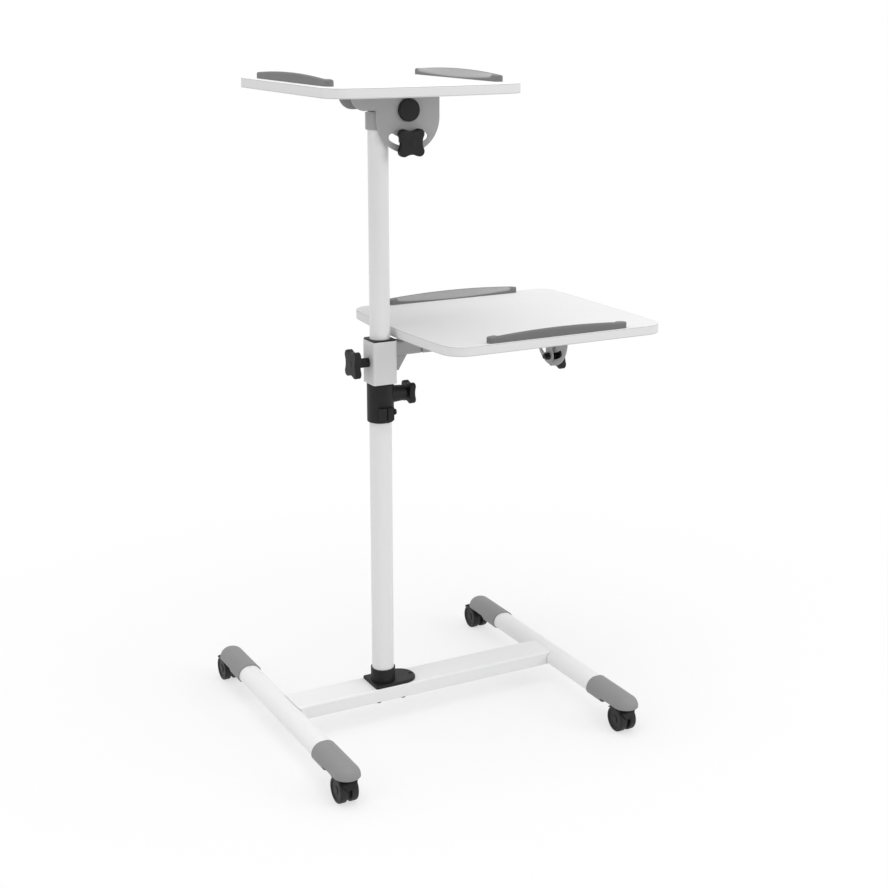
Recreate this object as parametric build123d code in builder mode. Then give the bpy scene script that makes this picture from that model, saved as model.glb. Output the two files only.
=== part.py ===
from build123d import *
import os

os.makedirs("parts", exist_ok=True)

# Lengths are in millimetres, angles in degrees. Heights are above the floor, and the
# places called offset, left, right, start or reach are counted from the column's axis.

# Shared clearances and overruns
slip_gap = 0.1
running_gap = 0.05
seat_gap = 0.3

# Side tubes of the base, flat-sided with round shoulders
side_tube_width = 40.0
side_tube_height = 26.0
side_tube_shoulder_radius = 17.0
side_tube_lower_radius = 8.0
side_tube_wall = 1.5
side_tube_length = 400.0
side_tube_underside = 39.5
left_tube_offset = 186.0
right_tube_offset = 339.0

# Cross beam between the side tubes, coped to them
beam_width = 60.0
beam_height = 24.5
beam_wall = 2.0
beam_corner_radius = 3.0
beam_cope_gap = 0.8

# Steel blocks that tie the beam to the side tubes, and their screws
joint_block_width = 44.0
joint_block_height = 12.0
joint_block_reach_in_beam = 45.0
joint_block_reach_in_tube = 28.0
joint_screw_radius = 3.0
joint_screw_head_radius = 5.5
joint_screw_head_height = 3.0
joint_screw_spacing = 26.0
joint_screw_beam_inset = 22.0
joint_screw_length = 9.0

# Plastic end caps over the side tubes, each with a tongue that carries a caster
cap_wall = 2.2
cap_overlap = 35.0
cap_solid_length = 6.0
cap_tongue_length = 70.0
cap_tongue_thickness = 19.6
cap_step_radius = 7.0
cap_screw_radius = 2.5
cap_screw_head_radius = 6.0
cap_screw_head_height = 2.6
cap_screw_inset = 8.0
cap_screw_length = 8.0

# Twin-wheel casters, all trailing the same way
wheel_radius = 22.0
wheel_width = 12.4
wheel_outer_round = 3.4
wheel_inner_round = 2.2
wheel_dish_radius = 16.0
wheel_dish_depth = 1.4
wheel_spacing_gap = 6.8
wheel_bore_depth = 9.0
caster_trail = 14.0
caster_stem_inset = 18.0
caster_web_thickness = 6.0
caster_web_radius = 17.0
caster_fender_gap = 0.9
caster_fender_thickness = 1.7
caster_fender_inset = 0.4
caster_fender_front_angle = 165.0
caster_fender_rear_angle = 40.0
caster_vee_top_drop = 7.0
caster_vee_bottom_drop = 21.0
caster_boss_radius = 8.5
caster_stem_radius = 4.0
caster_stem_height = 13.0
caster_spigot_radius = 1.8
caster_spigot_depth = 16.0
caster_axle_radius = 2.5

# Column foot on the beam, with its bolts
foot_plate_thickness = 5.0
foot_plate_half_width = 28.5
foot_plate_left = 26.0
foot_plate_right = 31.0
foot_plate_corner_radius = 3.0
foot_socket_wall = 2.2
foot_socket_height = 23.0
foot_socket_fillet = 2.5
foot_bolt_radius = 3.0
foot_bolt_head_radius = 5.5
foot_bolt_head_height = 2.5
foot_bolt_left = 20.0
foot_bolt_right = 27.0
foot_bolt_spacing = 44.0
foot_bolt_bite = 4.0

# Column tubes and the guide between them
lower_tube_diameter = 38.0
lower_tube_wall = 1.5
lower_tube_length = 505.0
mast_diameter = 34.0
mast_wall = 1.5
mast_bottom = 320.0
mast_top_drop = 34.0
guide_gap = 0.08
guide_flange_height = 14.0
guide_spigot_height = 22.0

# Clamp collar at the top of the lower tube
collar_grip = 36.0
collar_height = 65.0
collar_wall = 3.7
collar_edge_radius = 1.5
collar_slit_width = 2.2
collar_slit_stop = 6.0
collar_ear_rise = 6.0
collar_ear_height = 21.0
collar_ear_reach = 28.0
collar_ear_half_width = 13.0
collar_ear_radius = 2.0
collar_boss_rise = 44.0
collar_boss_root_radius = 16.5
collar_boss_end_radius = 13.0
collar_boss_reach = 43.0
pinch_screw_offset = 23.4
pinch_screw_rise = 19.0
pinch_screw_radius = 2.2
pinch_screw_head_radius = 5.4
pinch_screw_head_height = 4.2

# Clamp knobs with their studs and nuts
knob_stud_radius = 4.0
knob_lobe_offset = 14.0
knob_lobe_radius = 8.4
small_knob_lobe_offset = 11.0
small_knob_lobe_radius = 6.8
knob_waist_share = 0.85
knob_thickness = 11.0
knob_edge_radius = 2.4
knob_hub_radius = 8.0
knob_hub_length = 4.7
sleeve_knob_hub_length = 22.0
knob_nut_radius = 7.0
knob_nut_height = 6.0
knob_stud_tail = 5.0

# Glide ring that the shelf sleeve turns on
glide_ring_height = 1.6
glide_ring_radius = 21.5

# Square sleeve that carries the lower shelf, with its two bushes
sleeve_side = 44.0
sleeve_height = 73.0
sleeve_wall = 2.5
sleeve_corner_radius = 5.0
bush_depth = 18.0
bush_rim_height = 2.4
bush_rim_inset = 1.0
bush_rim_edge_radius = 0.8
sleeve_knob_rise = 36.5

# Arm and shaft from the sleeve to the lower shelf's bracket
lower_pivot_rise = 61.4
arm_end = 70.0
arm_half_width = 14.0
arm_top_rise = 7.5
arm_depth = 23.5
arm_corner_radius = 3.0
arm_gusset_reach = 24.0
arm_gusset_toe_reach = 8.0
arm_gusset_drop = 26.0
arm_gusset_half_width = 9.0
lower_shaft_radius = 6.0
lower_shaft_seat = 30.0
lower_plate_offset = 336.5
strap_half_width = 14.0
strap_thickness = 3.0
strap_gap = 2.0
strap_head_radius = 10.5
strap_end_radius = 12.0

# Tilt brackets of sheet steel
bracket_sheet = 2.5
bracket_bend_radius = 2.2
quadrant_drop = 69.5
upper_quadrant_half_width = 57.0
lower_quadrant_half_width = 50.0
slot_arc_radius = 52.0
slot_width = 12.5
slot_half_angle = 34.0
upper_pivot_cap_radius = 18.5
lower_pivot_cap_radius = 12.5
pivot_cap_thickness = 6.5
pivot_cap_edge_radius = 1.8
pivot_cap_bite = 4.0

# Upper bracket and the head that carries it
upper_pivot_offset = 42.5
upper_pivot_drop = 31.5
upper_pivot_radius = 5.0
upper_saddle_left = 58.0
upper_saddle_half_width = 25.0
upper_saddle_depth = 31.0
upper_saddle_end_radius = 24.0
upper_far_lobe_radius = 16.0
head_wall = 3.0
head_height = 27.0
head_top_drop = 4.0
head_left = 5.0
head_lobe_radius = 15.0

# Lower bracket
lower_saddle_half_width = 17.0
lower_saddle_rise = 14.0
lower_saddle_depth = 29.0
lower_saddle_start_gap = 2.0

# Boards, and the screws that hold them to their brackets
board_thickness = 16.0
board_corner_radius = 36.0
board_edge_radius = 1.0
board_front_bow = 12.0
board_back_bow = 2.5
lower_shelf_start = 24.5
lower_shelf_length = 423.0
lower_shelf_width = 382.0
upper_shelf_top = 1104.0
upper_shelf_length = 400.0
upper_shelf_width = 336.0
shelf_screw_radius = 2.0
shelf_screw_head_radius = 4.0
shelf_screw_head_height = 2.2
shelf_screw_bite = 11.0
shelf_screw_half_spacing = 9.0
shelf_screw_end_inset = 18.0

# Stops along two sides of each board
upper_stop_length = 286.0
lower_stop_length = 266.0
stop_width = 15.0
stop_height = 15.0
stop_end_height = 9.5
stop_edge_radius = 3.0
lower_stop_setback = 3.0
upper_stop_setback = 15.5
stop_seat_depth = 0.5
stop_peg_radius = 3.0
stop_peg_length = 9.0
stop_peg_inset = 40.0

# Heights and places that follow from the sizes above
side_tube_top = side_tube_underside + side_tube_height
beam_top = side_tube_underside + beam_height
joint_block_underside = side_tube_underside + max(side_tube_wall, beam_wall)
cap_screw_reach = side_tube_length / 2 - cap_screw_inset
cap_length = cap_overlap + cap_solid_length + cap_tongue_length
cap_half_width = side_tube_width / 2 + cap_wall
cap_underside = side_tube_underside - cap_wall
cap_height = side_tube_height + 2 * cap_wall
tongue_underside = side_tube_top + cap_wall - cap_tongue_thickness
nose_reach = side_tube_length / 2 + cap_solid_length + cap_tongue_length
nose_centre = nose_reach - cap_half_width
stem_reach = nose_reach - caster_stem_inset
wheel_rear_reach = stem_reach + caster_trail + wheel_radius
housing_top = tongue_underside - seat_gap
fender_inner_radius = wheel_radius + caster_fender_gap
fender_outer_radius = fender_inner_radius + caster_fender_thickness
fender_half_width = wheel_spacing_gap / 2 + wheel_width - caster_fender_inset
lower_tube_bottom = beam_top + foot_plate_thickness
lower_tube_top = lower_tube_bottom + lower_tube_length
collar_bottom = lower_tube_top - collar_grip
collar_top = collar_bottom + collar_height
collar_radius = lower_tube_diameter / 2 + collar_wall
collar_boss_height = collar_bottom + collar_boss_rise
mast_radius = mast_diameter / 2
sleeve_bottom = collar_top + glide_ring_height
sleeve_top = sleeve_bottom + sleeve_height
lower_pivot_height = sleeve_bottom + lower_pivot_rise
lower_shelf_underside = lower_pivot_height + lower_saddle_rise
upper_shelf_underside = upper_shelf_top - board_thickness
upper_pivot_height = upper_shelf_underside - upper_pivot_drop
mast_top = upper_shelf_underside - mast_top_drop
strap_start = lower_plate_offset - strap_gap - strap_thickness
lower_plate_end = lower_plate_offset + bracket_sheet

# The origin is the middle of the whole footprint, on the floor, and the column stands beside it
column_x = (left_tube_offset + cap_half_width - lower_shelf_start - lower_shelf_length) / 2
column_y = (nose_reach - wheel_rear_reach) / 2


def level(height, x=0.0, y=0.0):
    """Level plane with its origin over a point counted from the column."""
    return Plane(origin=(column_x + x, column_y + y, height), x_dir=(1, 0, 0), z_dir=(0, 0, 1))


def upright(x, y, height, normal_x=0, normal_y=0):
    """Upright plane that looks along X or Y, with its local Y up."""
    return Plane(
        origin=(column_x + x, column_y + y, height),
        x_dir=(-normal_y, normal_x, 0),
        z_dir=(normal_x, normal_y, 0),
    )


def save(piece, name):
    """Label a finished piece and write it under its node's name."""
    piece.label = name
    export_step(piece, f"parts/{name}.step")


def save_group(solids, name):
    """Write several separate solids as one node."""
    save(Compound(children=list(solids)), name)


def tube_outline(growth=0.0):
    """Outline of a side tube, grown all round, over the middle of the tube's underside."""
    with BuildSketch() as outline:
        with Locations((0, -growth)):
            Rectangle(
                side_tube_width + 2 * growth,
                side_tube_height + 2 * growth,
                align=(Align.CENTER, Align.MIN),
            )
        fillet(outline.vertices().group_by(Axis.Y)[-1], side_tube_shoulder_radius + growth)
        fillet(outline.vertices().group_by(Axis.Y)[0], side_tube_lower_radius + growth)
    return outline.sketch


def make_screw(plane, radius, length, head_radius, head_height):
    """Pan-head screw. The plane lies under the head and looks along the shank."""
    with BuildPart() as screw:
        with BuildSketch(plane):
            Circle(head_radius)
        extrude(amount=-head_height)
        outer_face = screw.faces().sort_by(Axis(plane.origin, plane.z_dir))[0]
        fillet(outer_face.edges(), head_height / 2)
        with BuildSketch(plane):
            Circle(radius)
        extrude(amount=length)
    return screw.part


# Side tubes, their joint blocks and the screws that hold them, one set at each end of the beam
def joint_screw_places(tube_offset, side):
    """Places of one joint's screws: two through the beam and two through the side tube."""
    beam_x = tube_offset - side * (side_tube_width / 2 + beam_cope_gap + joint_screw_beam_inset)
    half_spacing = joint_screw_spacing / 2
    return [(x, y) for x in (beam_x, tube_offset) for y in (-half_spacing, half_spacing)]


def make_side_tube(tube_offset, side):
    """Side tube with a window for its joint block, and holes for the screws from below."""
    inner_flank = tube_offset - side * side_tube_width / 2
    with BuildPart() as tube:
        with BuildSketch(upright(tube_offset, side_tube_length / 2, side_tube_underside, normal_y=-1)):
            add(tube_outline())
            add(tube_outline(-side_tube_wall), mode=Mode.SUBTRACT)
        extrude(amount=side_tube_length)
        with BuildSketch(upright(inner_flank, 0, joint_block_underside, normal_x=1)):
            with Locations((0, -slip_gap)):
                Rectangle(
                    joint_block_width + 2 * slip_gap,
                    joint_block_height + 2 * slip_gap,
                    align=(Align.CENTER, Align.MIN),
                )
        extrude(amount=side_tube_lower_radius, both=True, mode=Mode.SUBTRACT)
        with BuildSketch(level(side_tube_underside)):
            with Locations(*joint_screw_places(tube_offset, side)[2:]):
                Circle(joint_screw_radius + slip_gap)
            with Locations((tube_offset, -cap_screw_reach), (tube_offset, cap_screw_reach)):
                Circle(cap_screw_radius + slip_gap)
        extrude(amount=side_tube_lower_radius, mode=Mode.SUBTRACT)
    return tube.part


def make_joint_block(tube_offset, side):
    """Steel block that slides into the beam's end and through the side tube's window."""
    inner_flank = tube_offset - side * side_tube_width / 2
    beam_end = inner_flank - side * (beam_cope_gap + joint_block_reach_in_beam)
    tube_end = inner_flank + side * joint_block_reach_in_tube
    with BuildPart() as block:
        with BuildSketch(level(joint_block_underside, (beam_end + tube_end) / 2)):
            Rectangle(abs(tube_end - beam_end), joint_block_width)
        extrude(amount=joint_block_height)
        with BuildSketch(level(joint_block_underside)):
            with Locations(*joint_screw_places(tube_offset, side)):
                Circle(joint_screw_radius + slip_gap)
        extrude(amount=joint_screw_length, mode=Mode.SUBTRACT)
    return block.part


joint_screws = []
for tube_offset, side, word in ((-left_tube_offset, -1, "left"), (right_tube_offset, 1, "right")):
    save(make_side_tube(tube_offset, side), f"{word}_side_tube")
    save(make_joint_block(tube_offset, side), f"{word}_joint_block")
    for x, y in joint_screw_places(tube_offset, side):
        joint_screws.append(
            make_screw(
                level(side_tube_underside, x, y),
                joint_screw_radius,
                joint_screw_length,
                joint_screw_head_radius,
                joint_screw_head_height,
            )
        )
save_group(joint_screws, "joint_screws")

# Cross beam, coped at both ends, with the holes of the foot's bolts and the joint screws
foot_bolt_places = [
    (x, y)
    for x in (-foot_bolt_left, foot_bolt_right)
    for y in (-foot_bolt_spacing / 2, foot_bolt_spacing / 2)
]
with BuildPart() as cross_beam:
    with BuildSketch(upright(-left_tube_offset, 0, side_tube_underside + beam_height / 2, normal_x=1)):
        RectangleRounded(beam_width, beam_height, beam_corner_radius)
        RectangleRounded(
            beam_width - 2 * beam_wall,
            beam_height - 2 * beam_wall,
            beam_corner_radius / 2,
            mode=Mode.SUBTRACT,
        )
    extrude(amount=left_tube_offset + right_tube_offset)
    for tube_offset in (-left_tube_offset, right_tube_offset):
        with BuildSketch(upright(tube_offset, 0, side_tube_underside, normal_y=-1)):
            add(tube_outline(beam_cope_gap))
        extrude(amount=beam_width, both=True, mode=Mode.SUBTRACT)
    with BuildSketch(level(side_tube_underside)):
        with Locations(*foot_bolt_places):
            Circle(foot_bolt_radius + slip_gap)
    extrude(amount=beam_height, mode=Mode.SUBTRACT)
    with BuildSketch(level(side_tube_underside)):
        with Locations(*joint_screw_places(-left_tube_offset, -1)[:2]):
            Circle(joint_screw_radius + slip_gap)
        with Locations(*joint_screw_places(right_tube_offset, 1)[:2]):
            Circle(joint_screw_radius + slip_gap)
    extrude(amount=beam_wall, mode=Mode.SUBTRACT)
save(cross_beam.part, "cross_beam")


# End caps
def make_end_cap(tube_offset, way):
    """End cap over a side tube's end. The way is -1 at the front and 1 at the rear."""
    rim = way * (side_tube_length / 2 - cap_overlap)
    step = way * (side_tube_length / 2 + cap_solid_length)
    outward = upright(tube_offset, rim, side_tube_underside, normal_y=way)
    nose_axis = Axis((column_x + tube_offset, column_y + way * nose_centre, 0), (0, 0, 1))
    beside = Plane(
        origin=(column_x + tube_offset, column_y + step, tongue_underside),
        x_dir=(0, way, 0),
        z_dir=(way, 0, 0),
    )
    with BuildPart() as cap:
        with BuildSketch(outward):
            add(tube_outline(cap_wall))
        extrude(amount=cap_length - cap_half_width)
        with BuildSketch(outward.offset(cap_length - cap_half_width)):
            add(tube_outline(cap_wall))
            Rectangle(
                cap_half_width,
                2 * cap_height,
                align=(Align.MAX, Align.CENTER),
                mode=Mode.INTERSECT,
            )
        revolve(axis=nose_axis, revolution_arc=180)
        with BuildSketch(beside) as profile:
            with Locations((cap_tongue_length, cap_tongue_thickness)):
                Rectangle(cap_length, cap_height, align=(Align.MAX, Align.MAX))
            Rectangle(
                2 * cap_tongue_length,
                2 * cap_height,
                align=(Align.MIN, Align.MAX),
                mode=Mode.SUBTRACT,
            )
            step_corner = profile.vertices().sort_by_distance((0, 0))[0]
            fillet(step_corner, cap_step_radius)
        extrude(amount=2 * cap_half_width, both=True, mode=Mode.INTERSECT)
        with BuildSketch(outward):
            add(tube_outline(slip_gap))
        extrude(amount=cap_overlap, mode=Mode.SUBTRACT)
        with BuildSketch(level(tongue_underside, tube_offset, way * stem_reach)):
            Circle(caster_stem_radius + running_gap)
        extrude(amount=caster_stem_height + seat_gap, mode=Mode.SUBTRACT)
        with BuildSketch(level(cap_underside, tube_offset, way * cap_screw_reach)):
            Circle(cap_screw_radius + slip_gap)
        extrude(amount=cap_wall, mode=Mode.SUBTRACT)
    return cap.part


corners = {
    "front_left": (-left_tube_offset, -1),
    "front_right": (right_tube_offset, -1),
    "rear_left": (-left_tube_offset, 1),
    "rear_right": (right_tube_offset, 1),
}
cap_screws = []
for corner, (tube_offset, way) in corners.items():
    save(make_end_cap(tube_offset, way), f"{corner}_end_cap")
    cap_screws.append(
        make_screw(
            level(cap_underside, tube_offset, way * cap_screw_reach),
            cap_screw_radius,
            cap_screw_length,
            cap_screw_head_radius,
            cap_screw_head_height,
        )
    )
save_group(cap_screws, "end_cap_screws")


# Casters: a housing with a central web and a fender, a stem with the axle, and two wheels
def make_caster_housing(x, stem_y):
    """Housing between and over the wheels, vee-shaped where it looks away from the trail."""
    axle_y = stem_y + caster_trail
    beside = upright(x, axle_y, wheel_radius, normal_x=1)
    with BuildPart() as housing:
        with BuildSketch(beside):
            Circle(fender_outer_radius)
            Circle(fender_inner_radius, mode=Mode.SUBTRACT)
            add(fender_sector(), mode=Mode.INTERSECT)
        extrude(amount=fender_half_width, both=True)
        with BuildSketch(upright(x, axle_y, wheel_radius + fender_outer_radius, normal_y=-1)):
            for hand in (-1, 1):
                Polygon(
                    (hand * caster_web_thickness / 2, -caster_vee_bottom_drop),
                    (hand * 2 * fender_half_width, -caster_vee_bottom_drop),
                    (hand * 2 * fender_half_width, -caster_vee_top_drop),
                    (hand * fender_half_width, -caster_vee_top_drop),
                    align=None,
                )
        extrude(amount=fender_outer_radius, mode=Mode.SUBTRACT)
        with BuildSketch(beside):
            Circle(fender_outer_radius)
            add(fender_sector(), mode=Mode.INTERSECT)
            Circle(caster_web_radius)
        extrude(amount=caster_web_thickness / 2, both=True)
        with BuildSketch(level(wheel_radius + fender_inner_radius, x, stem_y)):
            Circle(caster_boss_radius)
        extrude(amount=housing_top - wheel_radius - fender_inner_radius)
        with BuildSketch(beside):
            Circle(caster_axle_radius + running_gap)
        extrude(amount=caster_web_thickness, both=True, mode=Mode.SUBTRACT)
        with BuildSketch(level(housing_top, x, stem_y)):
            Circle(caster_spigot_radius + running_gap)
        extrude(amount=-caster_spigot_depth, mode=Mode.SUBTRACT)
    return housing.part


def fender_sector():
    """Wedge that the fender fills, from its rear edge over the top to its front edge."""
    reach = 2 * fender_outer_radius
    with BuildSketch() as sector:
        with BuildLine():
            arc = CenterArc(
                (0, 0),
                reach,
                caster_fender_rear_angle,
                caster_fender_front_angle - caster_fender_rear_angle,
            )
            Line((0, 0), arc @ 0)
            Line(arc @ 1, (0, 0))
        make_face()
    return sector.sketch


def make_caster_stem(x, stem_y):
    """Stem that turns in the end cap, with the thinner spigot that sits in the housing."""
    with BuildPart() as stem:
        with BuildSketch(level(housing_top, x, stem_y)):
            Circle(caster_stem_radius)
        extrude(amount=caster_stem_height)
        with BuildSketch(level(housing_top, x, stem_y)):
            Circle(caster_spigot_radius)
        extrude(amount=-caster_spigot_depth)
    return stem.part


def make_caster_axle(x, axle_y):
    """Axle through the web, ending inside both wheels."""
    with BuildPart() as axle:
        with BuildSketch(upright(x, axle_y, wheel_radius, normal_x=1)):
            Circle(caster_axle_radius)
        extrude(amount=wheel_spacing_gap / 2 + wheel_bore_depth - seat_gap, both=True)
    return axle.part


def make_wheel(x, axle_y, hand):
    """Wheel with a rounded tread and a dished outer face. The hand is -1 left and 1 right."""
    inner_face = wheel_spacing_gap / 2
    outer_face = inner_face + wheel_width
    with BuildPart() as wheel:
        with BuildSketch(upright(x, axle_y, wheel_radius, normal_y=-1)) as section:
            with Locations((hand * (inner_face + outer_face) / 2, 0)):
                Rectangle(wheel_width, wheel_radius, align=(Align.CENTER, Align.MIN))
            tread = section.vertices().group_by(Axis.Y)[-1].sort_by(Axis.X)
            fillet(tread[-1 if hand > 0 else 0], wheel_outer_round)
            tread = section.vertices().group_by(Axis.Y)[-1].sort_by(Axis.X)
            fillet(tread[0 if hand > 0 else -1], wheel_inner_round)
            with Locations((hand * outer_face, 0)):
                Rectangle(2 * wheel_dish_depth, 2 * wheel_dish_radius, mode=Mode.SUBTRACT)
            with Locations((hand * inner_face, 0)):
                Rectangle(
                    2 * wheel_bore_depth,
                    2 * (caster_axle_radius + running_gap),
                    mode=Mode.SUBTRACT,
                )
        revolve(axis=Axis((column_x + x, column_y + axle_y, wheel_radius), (1, 0, 0)))
    return wheel.part


for corner, (tube_offset, way) in corners.items():
    stem_y = way * stem_reach
    axle_y = stem_y + caster_trail
    save(make_caster_housing(tube_offset, stem_y), f"{corner}_caster_housing")
    pins = [make_caster_stem(tube_offset, stem_y), make_caster_axle(tube_offset, axle_y)]
    save_group(pins, f"{corner}_caster_pins")
    save(make_wheel(tube_offset, axle_y, -1), f"{corner}_caster_left_wheel")
    save(make_wheel(tube_offset, axle_y, 1), f"{corner}_caster_right_wheel")

# Column foot: a plate with one round end, and the socket of the lower tube
with BuildPart() as column_foot:
    with BuildSketch(level(beam_top)) as plate:
        with Locations(((foot_plate_right - foot_plate_left) / 2, 0)):
            Rectangle(foot_plate_left + foot_plate_right, 2 * foot_plate_half_width)
        fillet(plate.vertices().group_by(Axis.X)[0], foot_plate_corner_radius)
        with Locations((foot_plate_right, 0)):
            Circle(foot_plate_half_width)
    extrude(amount=foot_plate_thickness)
    with BuildSketch(level(lower_tube_bottom)):
        Circle(lower_tube_diameter / 2 + slip_gap + foot_socket_wall)
    extrude(amount=foot_socket_height)
    socket_root = (
        column_foot.edges()
        .filter_by(GeomType.CIRCLE)
        .filter_by_position(Axis.Z, lower_tube_bottom, lower_tube_bottom)
        .sort_by(SortBy.RADIUS)[0]
    )
    fillet(socket_root, foot_socket_fillet)
    with BuildSketch(level(lower_tube_bottom)):
        Circle(lower_tube_diameter / 2 + slip_gap)
    extrude(amount=foot_socket_height, mode=Mode.SUBTRACT)
    with BuildSketch(level(beam_top)):
        with Locations(*foot_bolt_places):
            Circle(foot_bolt_radius + slip_gap)
    extrude(amount=foot_bolt_bite, mode=Mode.SUBTRACT)
save(column_foot.part, "column_foot")

foot_bolts = [
    make_screw(
        level(side_tube_underside, x, y),
        foot_bolt_radius,
        beam_height + foot_bolt_bite,
        foot_bolt_head_radius,
        foot_bolt_head_height,
    )
    for x, y in foot_bolt_places
]
save_group(foot_bolts, "foot_bolts")

# Lower column tube
with BuildPart() as lower_column_tube:
    with BuildSketch(level(lower_tube_bottom)):
        Circle(lower_tube_diameter / 2)
        Circle(lower_tube_diameter / 2 - lower_tube_wall, mode=Mode.SUBTRACT)
    extrude(amount=lower_tube_length)
save(lower_column_tube.part, "lower_column_tube")

# Mast tube, telescoping in the lower tube
with BuildPart() as mast_tube:
    with BuildSketch(level(mast_bottom)):
        Circle(mast_radius)
        Circle(mast_radius - mast_wall, mode=Mode.SUBTRACT)
    extrude(amount=mast_top - mast_bottom)
save(mast_tube.part, "mast_tube")

# Guide plug under the mast: its flange runs in the lower tube, its spigot turns in the mast
with BuildPart() as mast_guide_plug:
    with BuildSketch(level(mast_bottom)):
        Circle(lower_tube_diameter / 2 - lower_tube_wall - guide_gap)
    extrude(amount=-guide_flange_height)
    with BuildSketch(level(mast_bottom)):
        Circle(mast_radius - mast_wall - guide_gap)
    extrude(amount=guide_spigot_height)
save(mast_guide_plug.part, "mast_guide_plug")

# Clamp collar: slit and eared at the lower tube, with a cone that carries the knob's stud
pinch_screw_height = collar_bottom + pinch_screw_rise
collar_boss_axis = Axis((column_x, column_y, collar_boss_height), (1, 0, 0))
with BuildPart() as clamp_collar:
    with BuildSketch(level(collar_bottom)):
        Circle(collar_radius)
    extrude(amount=collar_height)
    fillet(clamp_collar.edges().filter_by(GeomType.CIRCLE), collar_edge_radius)
    with BuildSketch(level(collar_bottom + collar_ear_rise)) as ears:
        Rectangle(2 * collar_ear_half_width, collar_ear_reach, align=(Align.CENTER, Align.MAX))
        fillet(ears.vertices().group_by(Axis.Y)[0], collar_ear_radius)
    extrude(amount=collar_ear_height)
    with BuildSketch(upright(0, 0, collar_boss_height, normal_y=-1)):
        Polygon(
            (0, 0),
            (0, collar_boss_root_radius),
            (collar_boss_reach, collar_boss_end_radius),
            (collar_boss_reach, 0),
            align=None,
        )
    revolve(axis=collar_boss_axis)
    with BuildSketch(level(collar_bottom)):
        Circle(lower_tube_diameter / 2 + slip_gap)
    extrude(amount=lower_tube_top - collar_bottom, mode=Mode.SUBTRACT)
    with BuildSketch(level(lower_tube_top)):
        Circle(mast_radius + running_gap)
    extrude(amount=collar_top - lower_tube_top, mode=Mode.SUBTRACT)
    with BuildSketch(level(collar_bottom)):
        Rectangle(collar_slit_width, 2 * collar_ear_reach, align=(Align.CENTER, Align.MAX))
    extrude(amount=lower_tube_top - collar_bottom - collar_slit_stop, mode=Mode.SUBTRACT)
    with BuildSketch(upright(-collar_ear_half_width, -pinch_screw_offset, pinch_screw_height, normal_x=1)):
        Circle(pinch_screw_radius + slip_gap)
    extrude(amount=2 * collar_ear_half_width, mode=Mode.SUBTRACT)
    with BuildSketch(upright(0, 0, collar_boss_height, normal_x=1)):
        Circle(knob_stud_radius + running_gap)
    extrude(amount=collar_boss_reach, mode=Mode.SUBTRACT)
save(clamp_collar.part, "clamp_collar")

collar_pinch_screw = make_screw(
    upright(collar_ear_half_width, -pinch_screw_offset, pinch_screw_height, normal_x=-1),
    pinch_screw_radius,
    2 * collar_ear_half_width,
    pinch_screw_head_radius,
    pinch_screw_head_height,
)
save(collar_pinch_screw, "collar_pinch_screw")


# Clamp knobs
def knob_outline(lobe_offset, lobe_radius):
    """Four-lobed outline: round lobes at a square's corners, tangent to a hollow in each side."""
    waist = knob_waist_share * (lobe_offset + lobe_radius)
    bulge = waist - lobe_offset
    spread = lobe_offset**2 + bulge**2 - lobe_radius**2
    hollow_radius = spread / (2 * (lobe_radius - bulge))
    lean = lobe_radius / (lobe_radius + hollow_radius)
    inner = lobe_offset * (1 - lean)
    outer = lobe_offset + lean * (bulge + hollow_radius)
    crown = lobe_offset + lobe_radius / 2**0.5
    quarter = ((-inner, outer), (0, waist), (inner, outer), (crown, crown), (outer, inner))
    with BuildSketch() as outline:
        with BuildLine():
            for turn in (0, -90, -180, -270):
                places = [Vector(*place).rotate(Axis.Z, turn) for place in quarter]
                ThreePointArc(*places[:3])
                ThreePointArc(*places[2:])
        make_face()
    return outline.sketch


def make_knob(plane, hub_length, stud_length, lobe_offset, lobe_radius):
    """Knob moulded on its stud. The plane is the knob's inner face and looks outward."""
    with BuildPart() as knob:
        with BuildSketch(plane):
            add(knob_outline(lobe_offset, lobe_radius))
        extrude(amount=knob_thickness)
        outward = Axis(plane.origin, plane.z_dir)
        fillet(knob.faces().sort_by(outward)[-1].edges(), knob_edge_radius)
        fillet(knob.faces().sort_by(outward)[0].edges(), knob_edge_radius / 2)
        with BuildSketch(plane):
            Circle(knob_hub_radius)
        extrude(amount=-hub_length)
        with BuildSketch(plane):
            Circle(knob_stud_radius)
        extrude(amount=-stud_length)
    return knob.part


def make_nut(plane):
    """Hexagon nut on a knob's stud. The plane is its face against the strap."""
    with BuildPart() as nut:
        with BuildSketch(plane):
            RegularPolygon(knob_nut_radius, side_count=6)
            Circle(knob_stud_radius + running_gap, mode=Mode.SUBTRACT)
        extrude(amount=knob_nut_height)
    return nut.part


stud_tip = mast_radius + seat_gap
collar_knob_offset = collar_boss_reach + seat_gap + knob_hub_length
collar_knob = make_knob(
    upright(collar_knob_offset, 0, collar_boss_height, normal_x=1),
    knob_hub_length,
    collar_knob_offset - stud_tip,
    small_knob_lobe_offset,
    small_knob_lobe_radius,
)
save(collar_knob, "collar_knob")

# Glide ring between the collar and the shelf sleeve
with BuildPart() as glide_ring:
    with BuildSketch(level(collar_top)):
        Circle(glide_ring_radius)
        Circle(mast_radius + seat_gap, mode=Mode.SUBTRACT)
    extrude(amount=glide_ring_height)
save(glide_ring.part, "glide_ring")

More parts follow.
